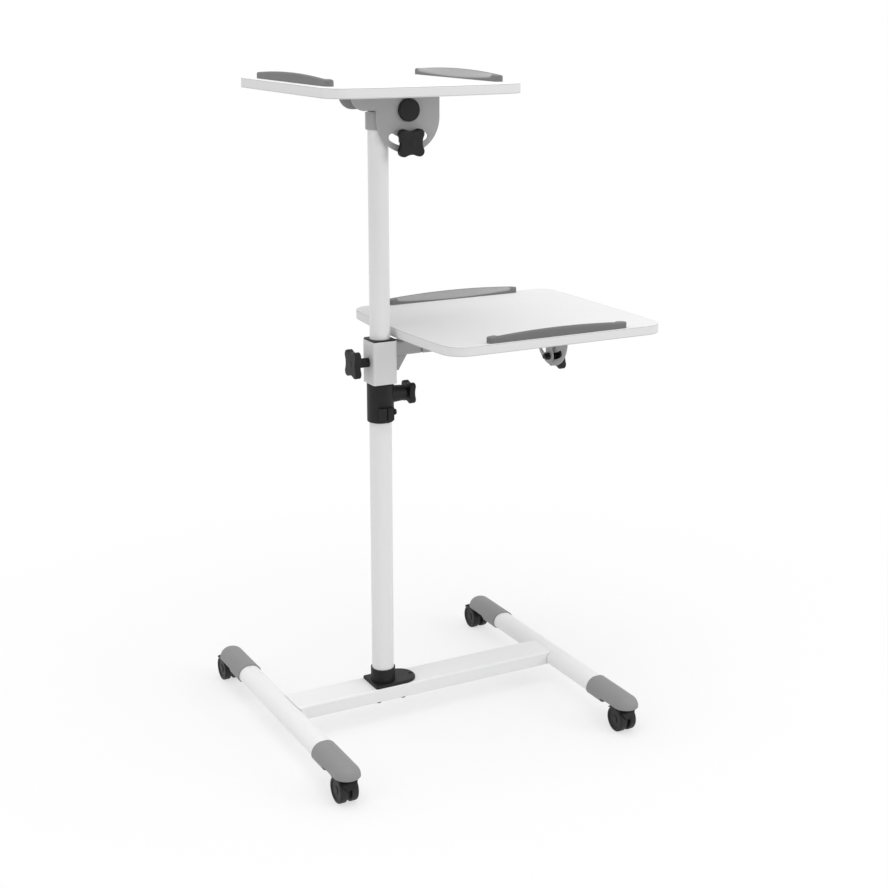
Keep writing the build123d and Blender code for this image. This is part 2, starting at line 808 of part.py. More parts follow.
# Shelf sleeve, with a hole for its knob's stud
sleeve_knob_height = sleeve_bottom + sleeve_knob_rise
sleeve_bore_side = sleeve_side - 2 * sleeve_wall
with BuildPart() as shelf_sleeve:
    with BuildSketch(level(sleeve_bottom)):
        RectangleRounded(sleeve_side, sleeve_side, sleeve_corner_radius)
        RectangleRounded(
            sleeve_bore_side,
            sleeve_bore_side,
            sleeve_corner_radius / 2,
            mode=Mode.SUBTRACT,
        )
    extrude(amount=sleeve_height)
    with BuildSketch(upright(-sleeve_side / 2, 0, sleeve_knob_height, normal_x=1)):
        Circle(knob_stud_radius + running_gap)
    extrude(amount=2 * sleeve_wall, mode=Mode.SUBTRACT)
save(shelf_sleeve.part, "shelf_sleeve")

# Bushes inside the sleeve: the upper one shows its rim, the lower one is flush
with BuildPart() as top_bush:
    with BuildSketch(level(sleeve_top)):
        RectangleRounded(
            sleeve_side - 2 * bush_rim_inset,
            sleeve_side - 2 * bush_rim_inset,
            sleeve_corner_radius - bush_rim_inset,
        )
    extrude(amount=bush_rim_height)
    fillet(top_bush.faces().sort_by(Axis.Z)[-1].edges(), bush_rim_edge_radius)
    with BuildSketch(level(sleeve_top)):
        RectangleRounded(
            sleeve_bore_side - 2 * slip_gap,
            sleeve_bore_side - 2 * slip_gap,
            sleeve_corner_radius / 2,
        )
    extrude(amount=-bush_depth)
    with BuildSketch(level(sleeve_top - bush_depth)):
        Circle(mast_radius + running_gap)
    extrude(amount=bush_depth + bush_rim_height, mode=Mode.SUBTRACT)

with BuildPart() as bottom_bush:
    with BuildSketch(level(sleeve_bottom)):
        RectangleRounded(
            sleeve_bore_side - 2 * slip_gap,
            sleeve_bore_side - 2 * slip_gap,
            sleeve_corner_radius / 2,
        )
        Circle(mast_radius + running_gap, mode=Mode.SUBTRACT)
    extrude(amount=bush_depth)
save_group([top_bush.part, bottom_bush.part], "sleeve_bushes")

sleeve_knob_offset = sleeve_side / 2 + seat_gap + sleeve_knob_hub_length
sleeve_knob = make_knob(
    upright(-sleeve_knob_offset, 0, sleeve_knob_height, normal_x=-1),
    sleeve_knob_hub_length,
    sleeve_knob_offset - stud_tip,
    knob_lobe_offset,
    knob_lobe_radius,
)
save(sleeve_knob, "sleeve_knob")

# Cast arm on the sleeve's side, with a gusset below and a blind bore for the pivot shaft
arm_start = sleeve_side / 2
arm_underside = lower_pivot_height + arm_top_rise - arm_depth
with BuildPart() as shelf_arm:
    with BuildSketch(upright(arm_start, 0, arm_underside, normal_x=1)) as arm_section:
        Rectangle(2 * arm_half_width, arm_depth, align=(Align.CENTER, Align.MIN))
        fillet(arm_section.vertices(), arm_corner_radius)
    extrude(amount=arm_end - arm_start)
    with BuildSketch(upright(0, 0, arm_underside, normal_y=-1)):
        Polygon(
            (arm_start, 0),
            (arm_start, -arm_gusset_drop),
            (arm_start + arm_gusset_toe_reach, -arm_gusset_drop),
            (arm_start + arm_gusset_reach, 0),
            align=None,
        )
    extrude(amount=arm_gusset_half_width, both=True)
    with BuildSketch(upright(arm_end, 0, lower_pivot_height, normal_x=-1)):
        Circle(lower_shaft_radius + running_gap)
    extrude(amount=lower_shaft_seat, mode=Mode.SUBTRACT)
save(shelf_arm.part, "shelf_arm")

# Pivot shaft from the arm to the cap at the bracket's far end
lower_shaft_start = arm_end - lower_shaft_seat
lower_shaft_end = lower_plate_end + pivot_cap_bite
with BuildPart() as lower_pivot_shaft:
    with BuildSketch(upright(lower_shaft_start, 0, lower_pivot_height, normal_x=1)):
        Circle(lower_shaft_radius)
    extrude(amount=lower_shaft_end - lower_shaft_start)
save(lower_pivot_shaft.part, "lower_pivot_shaft")

# Fixed strap that the lower clamp knob pulls the quadrant plate against
with BuildPart() as lower_clamp_strap:
    with BuildSketch(upright(strap_start, 0, lower_pivot_height, normal_x=1)):
        Circle(strap_head_radius)
        with Locations((0, -slot_arc_radius / 2)):
            Rectangle(2 * strap_head_radius, slot_arc_radius)
        with Locations((0, -slot_arc_radius)):
            Circle(strap_end_radius)
        Circle(lower_shaft_radius + running_gap, mode=Mode.SUBTRACT)
        with Locations((0, -slot_arc_radius)):
            Circle(knob_stud_radius + running_gap, mode=Mode.SUBTRACT)
    extrude(amount=strap_thickness)
save(lower_clamp_strap.part, "lower_clamp_strap")


def make_pivot_cap(plane, radius, shaft_radius):
    """Round cover over a pivot's end. The plane is its inner face and looks outward."""
    with BuildPart() as cover:
        with BuildSketch(plane):
            Circle(radius)
        extrude(amount=pivot_cap_thickness)
        outer_face = cover.faces().sort_by(Axis(plane.origin, plane.z_dir))[-1]
        fillet(outer_face.edges(), pivot_cap_edge_radius)
        with BuildSketch(plane):
            Circle(shaft_radius + running_gap)
        extrude(amount=pivot_cap_bite, mode=Mode.SUBTRACT)
    return cover.part


lower_cap_plane = upright(lower_plate_end + seat_gap, 0, lower_pivot_height, normal_x=1)
lower_pivot_cap = make_pivot_cap(lower_cap_plane, lower_pivot_cap_radius, lower_shaft_radius)
save(lower_pivot_cap, "lower_pivot_cap")

lower_stud_height = lower_pivot_height - slot_arc_radius
lower_knob_offset = lower_plate_end + seat_gap + knob_hub_length
lower_tilt_knob = make_knob(
    upright(lower_knob_offset, 0, lower_stud_height, normal_x=1),
    knob_hub_length,
    lower_knob_offset - strap_start + knob_nut_height + knob_stud_tail,
    knob_lobe_offset,
    knob_lobe_radius,
)
save(lower_tilt_knob, "lower_tilt_knob")
save(make_nut(upright(strap_start, 0, lower_stud_height, normal_x=-1)), "lower_tilt_nut")


def quadrant_outline(half_width, rise):
    """Plate about a pivot: square at its top edge, round below, with an arc slot for the stud."""
    round_start = half_width - quadrant_drop
    with BuildSketch() as outline:
        with BuildLine():
            Polyline(
                (half_width, round_start),
                (half_width, rise),
                (-half_width, rise),
                (-half_width, round_start),
            )
            ThreePointArc((-half_width, round_start), (0, -quadrant_drop), (half_width, round_start))
        make_face()
        slot_line = CenterArc(
            (0, 0),
            slot_arc_radius,
            -90 - slot_half_angle,
            2 * slot_half_angle,
            mode=Mode.PRIVATE,
        )
        SlotArc(slot_line, slot_width, mode=Mode.SUBTRACT)
    return outline.sketch


# Lower bracket: an upturned channel along the shaft, closed by an end cheek and the quadrant
saddle_start = arm_end + lower_saddle_start_gap
saddle_flange_end = strap_start - strap_gap
lower_screw_places = [
    (x, y)
    for x in (saddle_start + shelf_screw_end_inset, saddle_flange_end - shelf_screw_end_inset)
    for y in (-shelf_screw_half_spacing, shelf_screw_half_spacing)
]
with BuildPart() as lower_saddle:
    with BuildSketch(upright(saddle_start, 0, lower_shelf_underside, normal_x=1)):
        Rectangle(2 * lower_saddle_half_width, bracket_sheet, align=(Align.CENTER, Align.MAX))
    extrude(amount=lower_plate_end - saddle_start)
    with BuildSketch(upright(saddle_start, 0, lower_shelf_underside, normal_x=1)):
        Rectangle(2 * lower_saddle_half_width, lower_saddle_depth, align=(Align.CENTER, Align.MAX))
        Rectangle(
            2 * (lower_saddle_half_width - bracket_sheet),
            lower_saddle_depth,
            align=(Align.CENTER, Align.MAX),
            mode=Mode.SUBTRACT,
        )
    extrude(amount=saddle_flange_end - saddle_start)
    with BuildSketch(upright(saddle_start, 0, lower_shelf_underside, normal_x=1)):
        Rectangle(2 * lower_saddle_half_width, lower_saddle_depth, align=(Align.CENTER, Align.MAX))
    extrude(amount=bracket_sheet)
    fillet(lower_saddle.edges().filter_by(Axis.X).group_by(Axis.Z)[-1], bracket_bend_radius)
    with BuildSketch(upright(lower_plate_offset, 0, lower_pivot_height, normal_x=1)):
        add(quadrant_outline(lower_quadrant_half_width, lower_saddle_rise))
    extrude(amount=bracket_sheet)
    with BuildSketch(upright(saddle_start, 0, lower_pivot_height, normal_x=1)):
        Circle(lower_shaft_radius + running_gap)
    extrude(amount=lower_plate_end - saddle_start, mode=Mode.SUBTRACT)
    with BuildSketch(level(lower_shelf_underside)):
        with Locations(*lower_screw_places):
            Circle(shelf_screw_radius + slip_gap)
    extrude(amount=-bracket_sheet, mode=Mode.SUBTRACT)
save(lower_saddle.part, "lower_saddle")

# Head bracket on the mast: a ring, two cheeks with a web, and the near cheek's clamp strap
cheek_outer = mast_radius + seat_gap + head_wall
cheek_inner = mast_radius + seat_gap
head_bottom = upper_pivot_height - head_top_drop - head_height
upper_stud_height = upper_pivot_height - slot_arc_radius
with BuildPart() as head_bracket:
    with BuildSketch(level(head_bottom)):
        Circle(cheek_outer)
        with Locations(((upper_pivot_offset - head_left) / 2, 0)):
            Rectangle(upper_pivot_offset + head_left, 2 * cheek_outer)
        with Locations((cheek_outer + head_wall, 0)):
            Rectangle(
                2 * upper_pivot_offset,
                2 * cheek_inner,
                align=(Align.MIN, Align.CENTER),
                mode=Mode.SUBTRACT,
            )
        Circle(mast_radius + slip_gap, mode=Mode.SUBTRACT)
    extrude(amount=head_height)
    with BuildSketch(upright(upper_pivot_offset, -cheek_outer, upper_pivot_height, normal_y=1)):
        Circle(head_lobe_radius)
        Rectangle(2 * head_lobe_radius, head_top_drop + head_height, align=(Align.CENTER, Align.MAX))
        Rectangle(2 * strap_half_width, slot_arc_radius, align=(Align.CENTER, Align.MAX))
        with Locations((0, -slot_arc_radius)):
            Circle(strap_end_radius)
    extrude(amount=head_wall)
    with BuildSketch(upright(upper_pivot_offset, cheek_outer, upper_pivot_height, normal_y=-1)):
        Circle(head_lobe_radius)
        Rectangle(2 * head_lobe_radius, head_top_drop + head_height, align=(Align.CENTER, Align.MAX))
    extrude(amount=head_wall)
    with BuildSketch(upright(upper_pivot_offset, 0, upper_pivot_height, normal_y=-1)):
        Circle(upper_pivot_radius + running_gap)
    extrude(amount=cheek_outer, both=True, mode=Mode.SUBTRACT)
    with BuildSketch(upright(upper_pivot_offset, 0, upper_stud_height, normal_y=-1)):
        Circle(knob_stud_radius + running_gap)
    extrude(amount=cheek_outer, mode=Mode.SUBTRACT)
save(head_bracket.part, "head_bracket")

# Pivot bolt and its two covers
cover_start = upper_saddle_half_width + seat_gap
with BuildPart() as upper_pivot_bolt:
    with BuildSketch(upright(upper_pivot_offset, 0, upper_pivot_height, normal_y=-1)):
        Circle(upper_pivot_radius)
    extrude(amount=upper_saddle_half_width + pivot_cap_bite, both=True)
save(upper_pivot_bolt.part, "upper_pivot_bolt")

upper_pivot_caps = [
    make_pivot_cap(
        upright(upper_pivot_offset, way * cover_start, upper_pivot_height, normal_y=way),
        upper_pivot_cap_radius,
        upper_pivot_radius,
    )
    for way in (-1, 1)
]
save_group(upper_pivot_caps, "upper_pivot_caps")

upper_knob_offset = cover_start + knob_hub_length
upper_tilt_knob = make_knob(
    upright(upper_pivot_offset, -upper_knob_offset, upper_stud_height, normal_y=-1),
    knob_hub_length,
    upper_knob_offset - cheek_inner + knob_nut_height + knob_stud_tail,
    knob_lobe_offset,
    knob_lobe_radius,
)
save(upper_tilt_knob, "upper_tilt_knob")
upper_nut_plane = upright(upper_pivot_offset, -cheek_inner, upper_stud_height, normal_y=1)
save(make_nut(upper_nut_plane), "upper_tilt_nut")

# Upper bracket: a plate under the board, a near flange with the quadrant, and a far flange
upper_saddle_right = upper_pivot_offset + upper_quadrant_half_width
upper_saddle_length = upper_saddle_left + upper_saddle_right
flange_middle = (upper_saddle_right - upper_saddle_left) / 2 - upper_pivot_offset
upper_screw_places = [
    (x, y)
    for x in (shelf_screw_end_inset - upper_saddle_left, upper_saddle_right - shelf_screw_end_inset)
    for y in (-shelf_screw_half_spacing, shelf_screw_half_spacing)
]


def flange_outline():
    """Long flange of the upper bracket about the pivot, with its left end rounded off."""
    with BuildSketch() as outline:
        with Locations((flange_middle, upper_pivot_drop)):
            Rectangle(upper_saddle_length, upper_saddle_depth, align=(Align.CENTER, Align.MAX))
        fillet(outline.vertices().group_by(Axis.Y)[0].sort_by(Axis.X)[0], upper_saddle_end_radius)
    return outline.sketch


with BuildPart() as upper_saddle:
    with BuildSketch(level(upper_shelf_underside - bracket_sheet, flange_middle + upper_pivot_offset)):
        Rectangle(upper_saddle_length, 2 * upper_saddle_half_width)
    extrude(amount=bracket_sheet)
    with BuildSketch(
        upright(upper_pivot_offset, bracket_sheet - upper_saddle_half_width, upper_pivot_height, normal_y=-1)
    ):
        add(flange_outline())
        add(quadrant_outline(upper_quadrant_half_width, upper_pivot_drop))
    extrude(amount=bracket_sheet)
    with BuildSketch(
        upright(upper_pivot_offset, upper_saddle_half_width, upper_pivot_height, normal_y=-1)
    ):
        add(flange_outline())
        Circle(upper_far_lobe_radius)
    extrude(amount=bracket_sheet)
    fillet(upper_saddle.edges().filter_by(Axis.X).group_by(Axis.Z)[-1], bracket_bend_radius)
    with BuildSketch(upright(upper_pivot_offset, 0, upper_pivot_height, normal_y=-1)):
        Circle(upper_pivot_radius + running_gap)
    extrude(amount=upper_saddle_half_width, both=True, mode=Mode.SUBTRACT)
    with BuildSketch(level(upper_shelf_underside)):
        with Locations(*upper_screw_places):
            Circle(shelf_screw_radius + slip_gap)
    extrude(amount=-bracket_sheet, mode=Mode.SUBTRACT)
save(upper_saddle.part, "upper_saddle")


# Boards and their stops. Each board's length runs from its bowed end along the plane's local X
def stop_places(width, setback):
    """Distances of the two stops from the board's long axis."""
    inset = width / 2 - setback - stop_width / 2
    return (-inset, inset)


def make_board(plane, length, width, stop_length, stop_lines, screw_places):
    """Board with one bowed end, shallow seats and peg holes for its stops, and screw holes below."""
    front = -length / 2
    back = length / 2
    peg_reach = stop_length / 2 - stop_peg_inset
    with BuildPart() as board:
        with BuildSketch(plane) as outline:
            with BuildLine():
                ThreePointArc(
                    (front + board_front_bow, -width / 2),
                    (front, 0),
                    (front + board_front_bow, width / 2),
                )
                Line((front + board_front_bow, width / 2), (back - board_back_bow, width / 2))
                ThreePointArc(
                    (back - board_back_bow, width / 2),
                    (back, 0),
                    (back - board_back_bow, -width / 2),
                )
                Line((back - board_back_bow, -width / 2), (front + board_front_bow, -width / 2))
            make_face()
            fillet(outline.vertices(), board_corner_radius)
        extrude(amount=board_thickness)
        fillet(board.faces().sort_by(Axis.Z)[-1].edges(), board_edge_radius)
        fillet(board.faces().sort_by(Axis.Z)[0].edges(), board_edge_radius)
        with BuildSketch(plane.offset(board_thickness)):
            with Locations(*[(0, y) for y in stop_lines]):
                SlotOverall(stop_length + 2 * seat_gap, stop_width + 2 * seat_gap)
        extrude(amount=-stop_seat_depth, mode=Mode.SUBTRACT)
        with BuildSketch(plane.offset(board_thickness)):
            with Locations(*[(x, y) for x in (-peg_reach, peg_reach) for y in stop_lines]):
                Circle(stop_peg_radius + slip_gap)
        extrude(amount=-stop_peg_length - seat_gap, mode=Mode.SUBTRACT)
        with BuildSketch(level(plane.origin.Z)):
            with Locations(*screw_places):
                Circle(shelf_screw_radius + slip_gap)
        extrude(amount=shelf_screw_bite + seat_gap, mode=Mode.SUBTRACT)
    return board.part


def make_stop(plane, stop_length, across):
    """Arched stop that stands in a board's shallow seat by two pegs, at a distance across it."""
    half_length = stop_length / 2
    peg_reach = half_length - stop_peg_inset
    beside = Plane(
        origin=plane.from_local_coords((0, across + stop_width / 2, 0)),
        x_dir=plane.x_dir,
        z_dir=-plane.y_dir,
    )
    with BuildPart() as stop:
        with BuildSketch(beside):
            with BuildLine():
                ThreePointArc(
                    (-half_length, stop_end_height),
                    (0, stop_height),
                    (half_length, stop_end_height),
                )
                Polyline(
                    (half_length, stop_end_height),
                    (half_length, -stop_seat_depth),
                    (-half_length, -stop_seat_depth),
                    (-half_length, stop_end_height),
                )
            make_face()
        extrude(amount=stop_width)
        with BuildSketch(plane.offset(-stop_seat_depth)):
            with Locations((0, across)):
                SlotOverall(stop_length, stop_width)
        extrude(amount=stop_height + stop_seat_depth, mode=Mode.INTERSECT)
        fillet(stop.faces().sort_by(Axis.Z)[-1].edges(), stop_edge_radius)
        with BuildSketch(plane):
            with Locations((-peg_reach, across), (peg_reach, across)):
                Circle(stop_peg_radius)
        extrude(amount=-stop_peg_length)
    return stop.part


def make_shelf_screws(underside, places):
    """Screws that come up through a bracket's plate into its board."""
    return [
        make_screw(
            level(underside - bracket_sheet, x, y),
            shelf_screw_radius,
            bracket_sheet + shelf_screw_bite,
            shelf_screw_head_radius,
            shelf_screw_head_height,
        )
        for x, y in places
    ]


lower_board_plane = level(lower_shelf_underside, lower_shelf_start + lower_shelf_length / 2)
lower_face_plane = lower_board_plane.offset(board_thickness)
lower_stop_lines = stop_places(lower_shelf_width, lower_stop_setback)
lower_shelf = make_board(
    lower_board_plane,
    lower_shelf_length,
    lower_shelf_width,
    lower_stop_length,
    lower_stop_lines,
    lower_screw_places,
)
save(lower_shelf, "lower_shelf")
save_group(make_shelf_screws(lower_shelf_underside, lower_screw_places), "lower_shelf_screws")
for word, across in zip(("front", "rear"), lower_stop_lines):
    save(make_stop(lower_face_plane, lower_stop_length, across), f"lower_{word}_stop")

# The upper board is turned a quarter, so that its bowed end looks to the front
upper_board_plane = Plane(
    origin=(column_x, column_y, upper_shelf_underside),
    x_dir=(0, 1, 0),
    z_dir=(0, 0, 1),
)
upper_face_plane = upper_board_plane.offset(board_thickness)
upper_stop_lines = stop_places(upper_shelf_width, upper_stop_setback)
upper_shelf = make_board(
    upper_board_plane,
    upper_shelf_length,
    upper_shelf_width,
    upper_stop_length,
    upper_stop_lines,
    upper_screw_places,
)
save(upper_shelf, "upper_shelf")
save_group(make_shelf_screws(upper_shelf_underside, upper_screw_places), "upper_shelf_screws")
for word, across in zip(("right", "left"), upper_stop_lines):
    save(make_stop(upper_face_plane, upper_stop_length, across), f"upper_{word}_stop")
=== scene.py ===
import logging
import math
from dataclasses import dataclass
from enum import Enum

import bmesh
import bpy
import numpy as np
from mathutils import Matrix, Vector


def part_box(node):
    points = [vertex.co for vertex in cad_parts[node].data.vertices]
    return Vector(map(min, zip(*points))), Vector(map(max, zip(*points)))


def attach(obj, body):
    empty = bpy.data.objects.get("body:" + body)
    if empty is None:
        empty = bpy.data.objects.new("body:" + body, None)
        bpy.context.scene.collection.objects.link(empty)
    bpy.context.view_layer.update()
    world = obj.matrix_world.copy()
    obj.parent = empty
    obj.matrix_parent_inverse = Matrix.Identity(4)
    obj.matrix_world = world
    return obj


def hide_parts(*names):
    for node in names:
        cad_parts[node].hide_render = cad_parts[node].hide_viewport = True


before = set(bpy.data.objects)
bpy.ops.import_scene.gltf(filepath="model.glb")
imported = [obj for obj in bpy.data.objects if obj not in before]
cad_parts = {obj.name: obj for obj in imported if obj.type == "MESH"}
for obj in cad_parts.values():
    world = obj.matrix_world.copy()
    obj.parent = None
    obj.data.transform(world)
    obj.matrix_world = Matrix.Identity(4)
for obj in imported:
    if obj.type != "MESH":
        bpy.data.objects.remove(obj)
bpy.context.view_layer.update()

LOG = logging.getLogger("audio_visual_cart")
MM = 0.001
CORNERS = ("front_left", "front_right", "rear_left", "rear_right")
DOWN = np.array([0.0, 0.0, -1.0])
# A cross recess: its waist as a share of its reach, and the power that narrows its arms.
CROSS_WAIST_SHARE = 0.36
CROSS_POWER = 7
# An axis whose Z part is smaller than this counts as lying, and others as upright.
UPRIGHT_SHARE = 0.9
# A rounded corner takes up at most this share of either of its sides.
CORNER_LIMIT_SHARE = 0.49
Colour = tuple[float, float, float, float]
Place = tuple[float, float, float]


def grey(level: float) -> Colour:
    """Turn a display grey into a linear colour.

    Args:
        level: grey from 0 to 255, as a screen shows it.

    Returns:
        The linear colour with an alpha of one.
    """
    share = level / 255.0
    linear = share / 12.92 if share <= 0.04045 else ((share + 0.055) / 1.055) ** 2.4
    return (linear, linear, linear, 1.0)


@dataclass
class Wire:
    """A node's output that is used like a number, with the bench that its node stands on."""

    bench: "Bench"
    socket: bpy.types.NodeSocket

    def _maths(self, operation: str, other: "Wire | float") -> "Wire":
        """Add one Math node, with this wire as its first value."""
        return self.bench.node("ShaderNodeMath", {"operation": operation}, {0: self, 1: other})

    def __add__(self, other: "Wire | float") -> "Wire":
        """Sum."""
        return self._maths("ADD", other)

    def __sub__(self, other: "Wire | float") -> "Wire":
        """Difference."""
        return self._maths("SUBTRACT", other)

    def __mul__(self, other: "Wire | float") -> "Wire":
        """Product."""
        return self._maths("MULTIPLY", other)

    def __lt__(self, other: "Wire | float") -> "Wire":
        """One where the wire is smaller, zero elsewhere."""
        return self._maths("LESS_THAN", other)

    def __abs__(self) -> "Wire":
        """Size without its sign."""
        return self._maths("ABSOLUTE", 0.0)


class Bench:
    """Node tree of one material, with a Principled shader at its end."""

    def __init__(self, name: str) -> None:
        """Start the material with its shader and output.

        Args:
            name: the material's name.
        """
        self.material = bpy.data.materials.new(name)
        self.material.use_nodes = True
        self.tree = self.material.node_tree
        self.tree.nodes.clear()
        self.shader = self.tree.nodes.new("ShaderNodeBsdfPrincipled")
        output = self.tree.nodes.new("ShaderNodeOutputMaterial")
        self.tree.links.new(self.shader.outputs[0], output.inputs[0])

    def node(
        self,
        kind: str,
        settings: dict[str, str] | None = None,
        inputs: dict[str | int, "Wire | float | tuple"] | None = None,
        output: str | int = 0,
    ) -> Wire:
        """Add any node.

        Args:
            kind: the node's type.
            settings: the node's own settings, set first.
            inputs: values or wires for its sockets, by name or number.
            output: name or number of the output that is wanted.

        Returns:
            The wire of that output.
        """
        made = self.tree.nodes.new(kind)
        for key, value in (settings or {}).items():
            setattr(made, key, value)
        for key, value in (inputs or {}).items():
            self.join(value, made.inputs[key])
        return Wire(self, made.outputs[output])

    def join(self, value: "Wire | float | tuple", socket: bpy.types.NodeSocket) -> None:
        """Link a wire to a socket, or set a constant on it.

        Args:
            value: wire or constant.
            socket: input that takes it.
        """
        if isinstance(value, Wire):
            self.tree.links.new(value.socket, socket)
        else:
            socket.default_value = value

    def feed(self, **inputs: "Wire | float | tuple") -> None:
        """Set or link the shader's sockets, written with _ for a space."""
        for name, value in inputs.items():
            self.join(value, self.shader.inputs[name.replace("_", " ")])

    def place(self, stretch: Place = (1.0, 1.0, 1.0)) -> Wire:
        """Object coordinates in metres, scaled along each axis to draw a pattern out."""
        here = self.node("ShaderNodeTexCoord", output="Object")
        return self.node("ShaderNodeMapping", inputs={"Vector": here, "Scale": stretch})

    def height(self) -> Wire:
        """Height above the floor, in metres, at rest."""
        here = self.node("ShaderNodeTexCoord", output="Object")
        return self.node("ShaderNodeSeparateXYZ", inputs={0: here}, output="Z")

    def noise(self, size: float, detail: float = 2.0, stretch: Place = (1.0, 1.0, 1.0)) -> Wire:
        """Soft noise.

        Args:
            size: width of one blotch, in metres.
            detail: how many finer layers are added.
            stretch: scale along each axis.

        Returns:
            A wire that runs about from 0.3 to 0.7.
        """
        return self.node(
            "ShaderNodeTexNoise",
            inputs={"Vector": self.place(stretch), "Scale": 1.0 / size, "Detail": detail},
        )

    def mark(self) -> Wire:
        """The mesh's own attribute, mark, which is 1 in the region that it marks."""
        return self.node("ShaderNodeAttribute", {"attribute_name": "mark"}, output="Fac")

    def blend(self, share: "Wire | float", first: "Wire | Colour", second: "Wire | Colour") -> Wire:
        """Mix two colours: a share of 0 gives the first and 1 the second."""
        inputs = {0: share, 6: first, 7: second}
        return self.node("ShaderNodeMix", {"data_type": "RGBA"}, inputs, output=2)

    def bump(self, height: Wire, depth: float) -> Wire:
        """Turn a height map into a normal, where a step from 0 to 1 is depth metres deep."""
        return self.node("ShaderNodeBump", inputs={"Strength": 1.0, "Distance": depth, "Height": height})


@dataclass(frozen=True)
class Finish:
    """A surface with an even colour, slow drift in tone and gloss, and a fine grain.

    Each tone is a display grey. Sizes of grain and drifts, and the grain's depth, are metres.
    """

    name: str
    slot: str
    tone: float
    roughness: float
    drift: float = 3.0
    drift_size: float = 0.07
    grain: float = 0.0012
    depth: float = 0.00004
    gloss_size: float = 0.03
    gloss_swing: float = 0.12

    def colour(self, bench: Bench) -> Wire:
        """Colour map: two near tones mixed by slow noise.

        Args:
            bench: the material's bench.

        Returns:
            The colour's wire.
        """
        slow = bench.noise(self.drift_size, 3.0)
        low, high = self.tone - self.drift, self.tone + self.drift
        return bench.blend(slow, grey(low), grey(high))

    def relief(self, bench: Bench) -> Wire:
        """Height map of the grain."""
        return bench.noise(self.grain, 2.0)

    def gloss(self, bench: Bench) -> Wire:
        """Roughness map: the plain roughness with a slow drift."""
        slow = bench.noise(self.gloss_size, 4.0)
        return slow * self.gloss_swing + (self.roughness - self.gloss_swing / 2)

    def make(self) -> bpy.types.Material:
        """Build the material.

        Returns:
            The finished material.
        """
        bench = Bench(self.name)
        bench.feed(
            Base_Color=self.colour(bench),
            Roughness=self.gloss(bench),
            Normal=bench.bump(self.relief(bench), self.depth),
        )
        self.shine(bench)
        return bench.material

    def shine(self, bench: Bench) -> None:
        """Set the shader's constants. A plain surface keeps them as they are."""


@dataclass(frozen=True)
class PowderCoat(Finish):
    """Baked powder paint: orange peel of two sizes, one over the other."""

    peel: float = 0.0032
    fine_share: float = 0.45

    def relief(self, bench: Bench) -> Wire:
        """Fine peel with a broader one under it."""
        fine = bench.noise(self.grain, 1.0)
        return fine * self.fine_share + bench.noise(self.peel, 1.0)


@dataclass(frozen=True)
class MouldedPlastic(Finish):
    """Spark-grained moulded plastic: small pits, whose bottoms are duller."""

    reflection: float = 0.5
    pit_smoothness: float = 0.6
    blur_size_share: float = 2.5
    blur_depth_share: float = 0.5

    def relief(self, bench: Bench) -> Wire:
        """Cells of the mould's grain, softened by noise.

        Args:
            bench: the material's bench.

        Returns:
            The height map's wire.
        """
        pits = bench.node(
            "ShaderNodeTexVoronoi",
            {"feature": "SMOOTH_F1"},
            {"Vector": bench.place(), "Scale": 1.0 / self.grain, "Smoothness": self.pit_smoothness},
            "Distance",
        )
        blur = bench.noise(self.grain * self.blur_size_share)
        return pits + blur * self.blur_depth_share

    def shine(self, bench: Bench) -> None:
        """Reflection of the moulded skin."""
        bench.feed(Specular_IOR_Level=self.reflection)


@dataclass(frozen=True)
class Melamine(Finish):
    """White board: pearled faces, and an edge band with a hairline glue joint at both arrises.

    The band lies between the two faces of the board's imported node.
    """

    node: str = "upper_shelf"
    arris: float = 0.0011
    joint: float = 0.00035
    band_tone: float = 235.0
    reflection: float = 0.3
    joint_tone: float = 196.0

    def colour(self, bench: Bench) -> Wire:
        """Face colour, with the band's tone and its two joint lines by height.

        Args:
            bench: the material's bench.

        Returns:
            The colour's wire.
        """
        face = super().colour(bench)
        bottom, top = (corner.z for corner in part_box(self.node))
        reach = (top - bottom) / 2 - self.arris
        away = abs(bench.height() - (bottom + top) / 2)
        band = bench.blend(away < reach, face, grey(self.band_tone))
        return bench.blend(abs(away - reach) < self.joint, band, grey(self.joint_tone))

    def shine(self, bench: Bench) -> None:
        """Weak reflection, as of a pearled board."""
        bench.feed(Specular_IOR_Level=self.reflection)


@dataclass(frozen=True)
class BareMetal(Finish):
    """Plated or blackened metal with fine drawn lines along one axis."""

    metallic: float = 1.0
    stretch: Place = (0.04, 1.0, 1.0)

    def relief(self, bench: Bench) -> Wire:
        """Noise drawn out along the axis with the small stretch."""
        return bench.noise(self.grain, 3.0, self.stretch)

    def shine(self, bench: Bench) -> None:
        """Metal's reflection."""
        bench.feed(Metallic=self.metallic)


@dataclass(frozen=True)
class WheelPlastic(MouldedPlastic):
    """Black nylon wheel whose tread has picked up a film of dust.

    The mesh carries an attribute, mark, which is 1 on the running surface and 0 elsewhere.
    """

    dust_tone: float = 62.0
    patch_size: float = 0.006
    film_share: float = 0.55

    def colour(self, bench: Bench) -> Wire:
        """Black, lighter where the tread's film shows through noise."""
        film = bench.mark() * bench.noise(self.patch_size, 4.0) * self.film_share
        return bench.blend(film, super().colour(bench), grey(self.dust_tone))


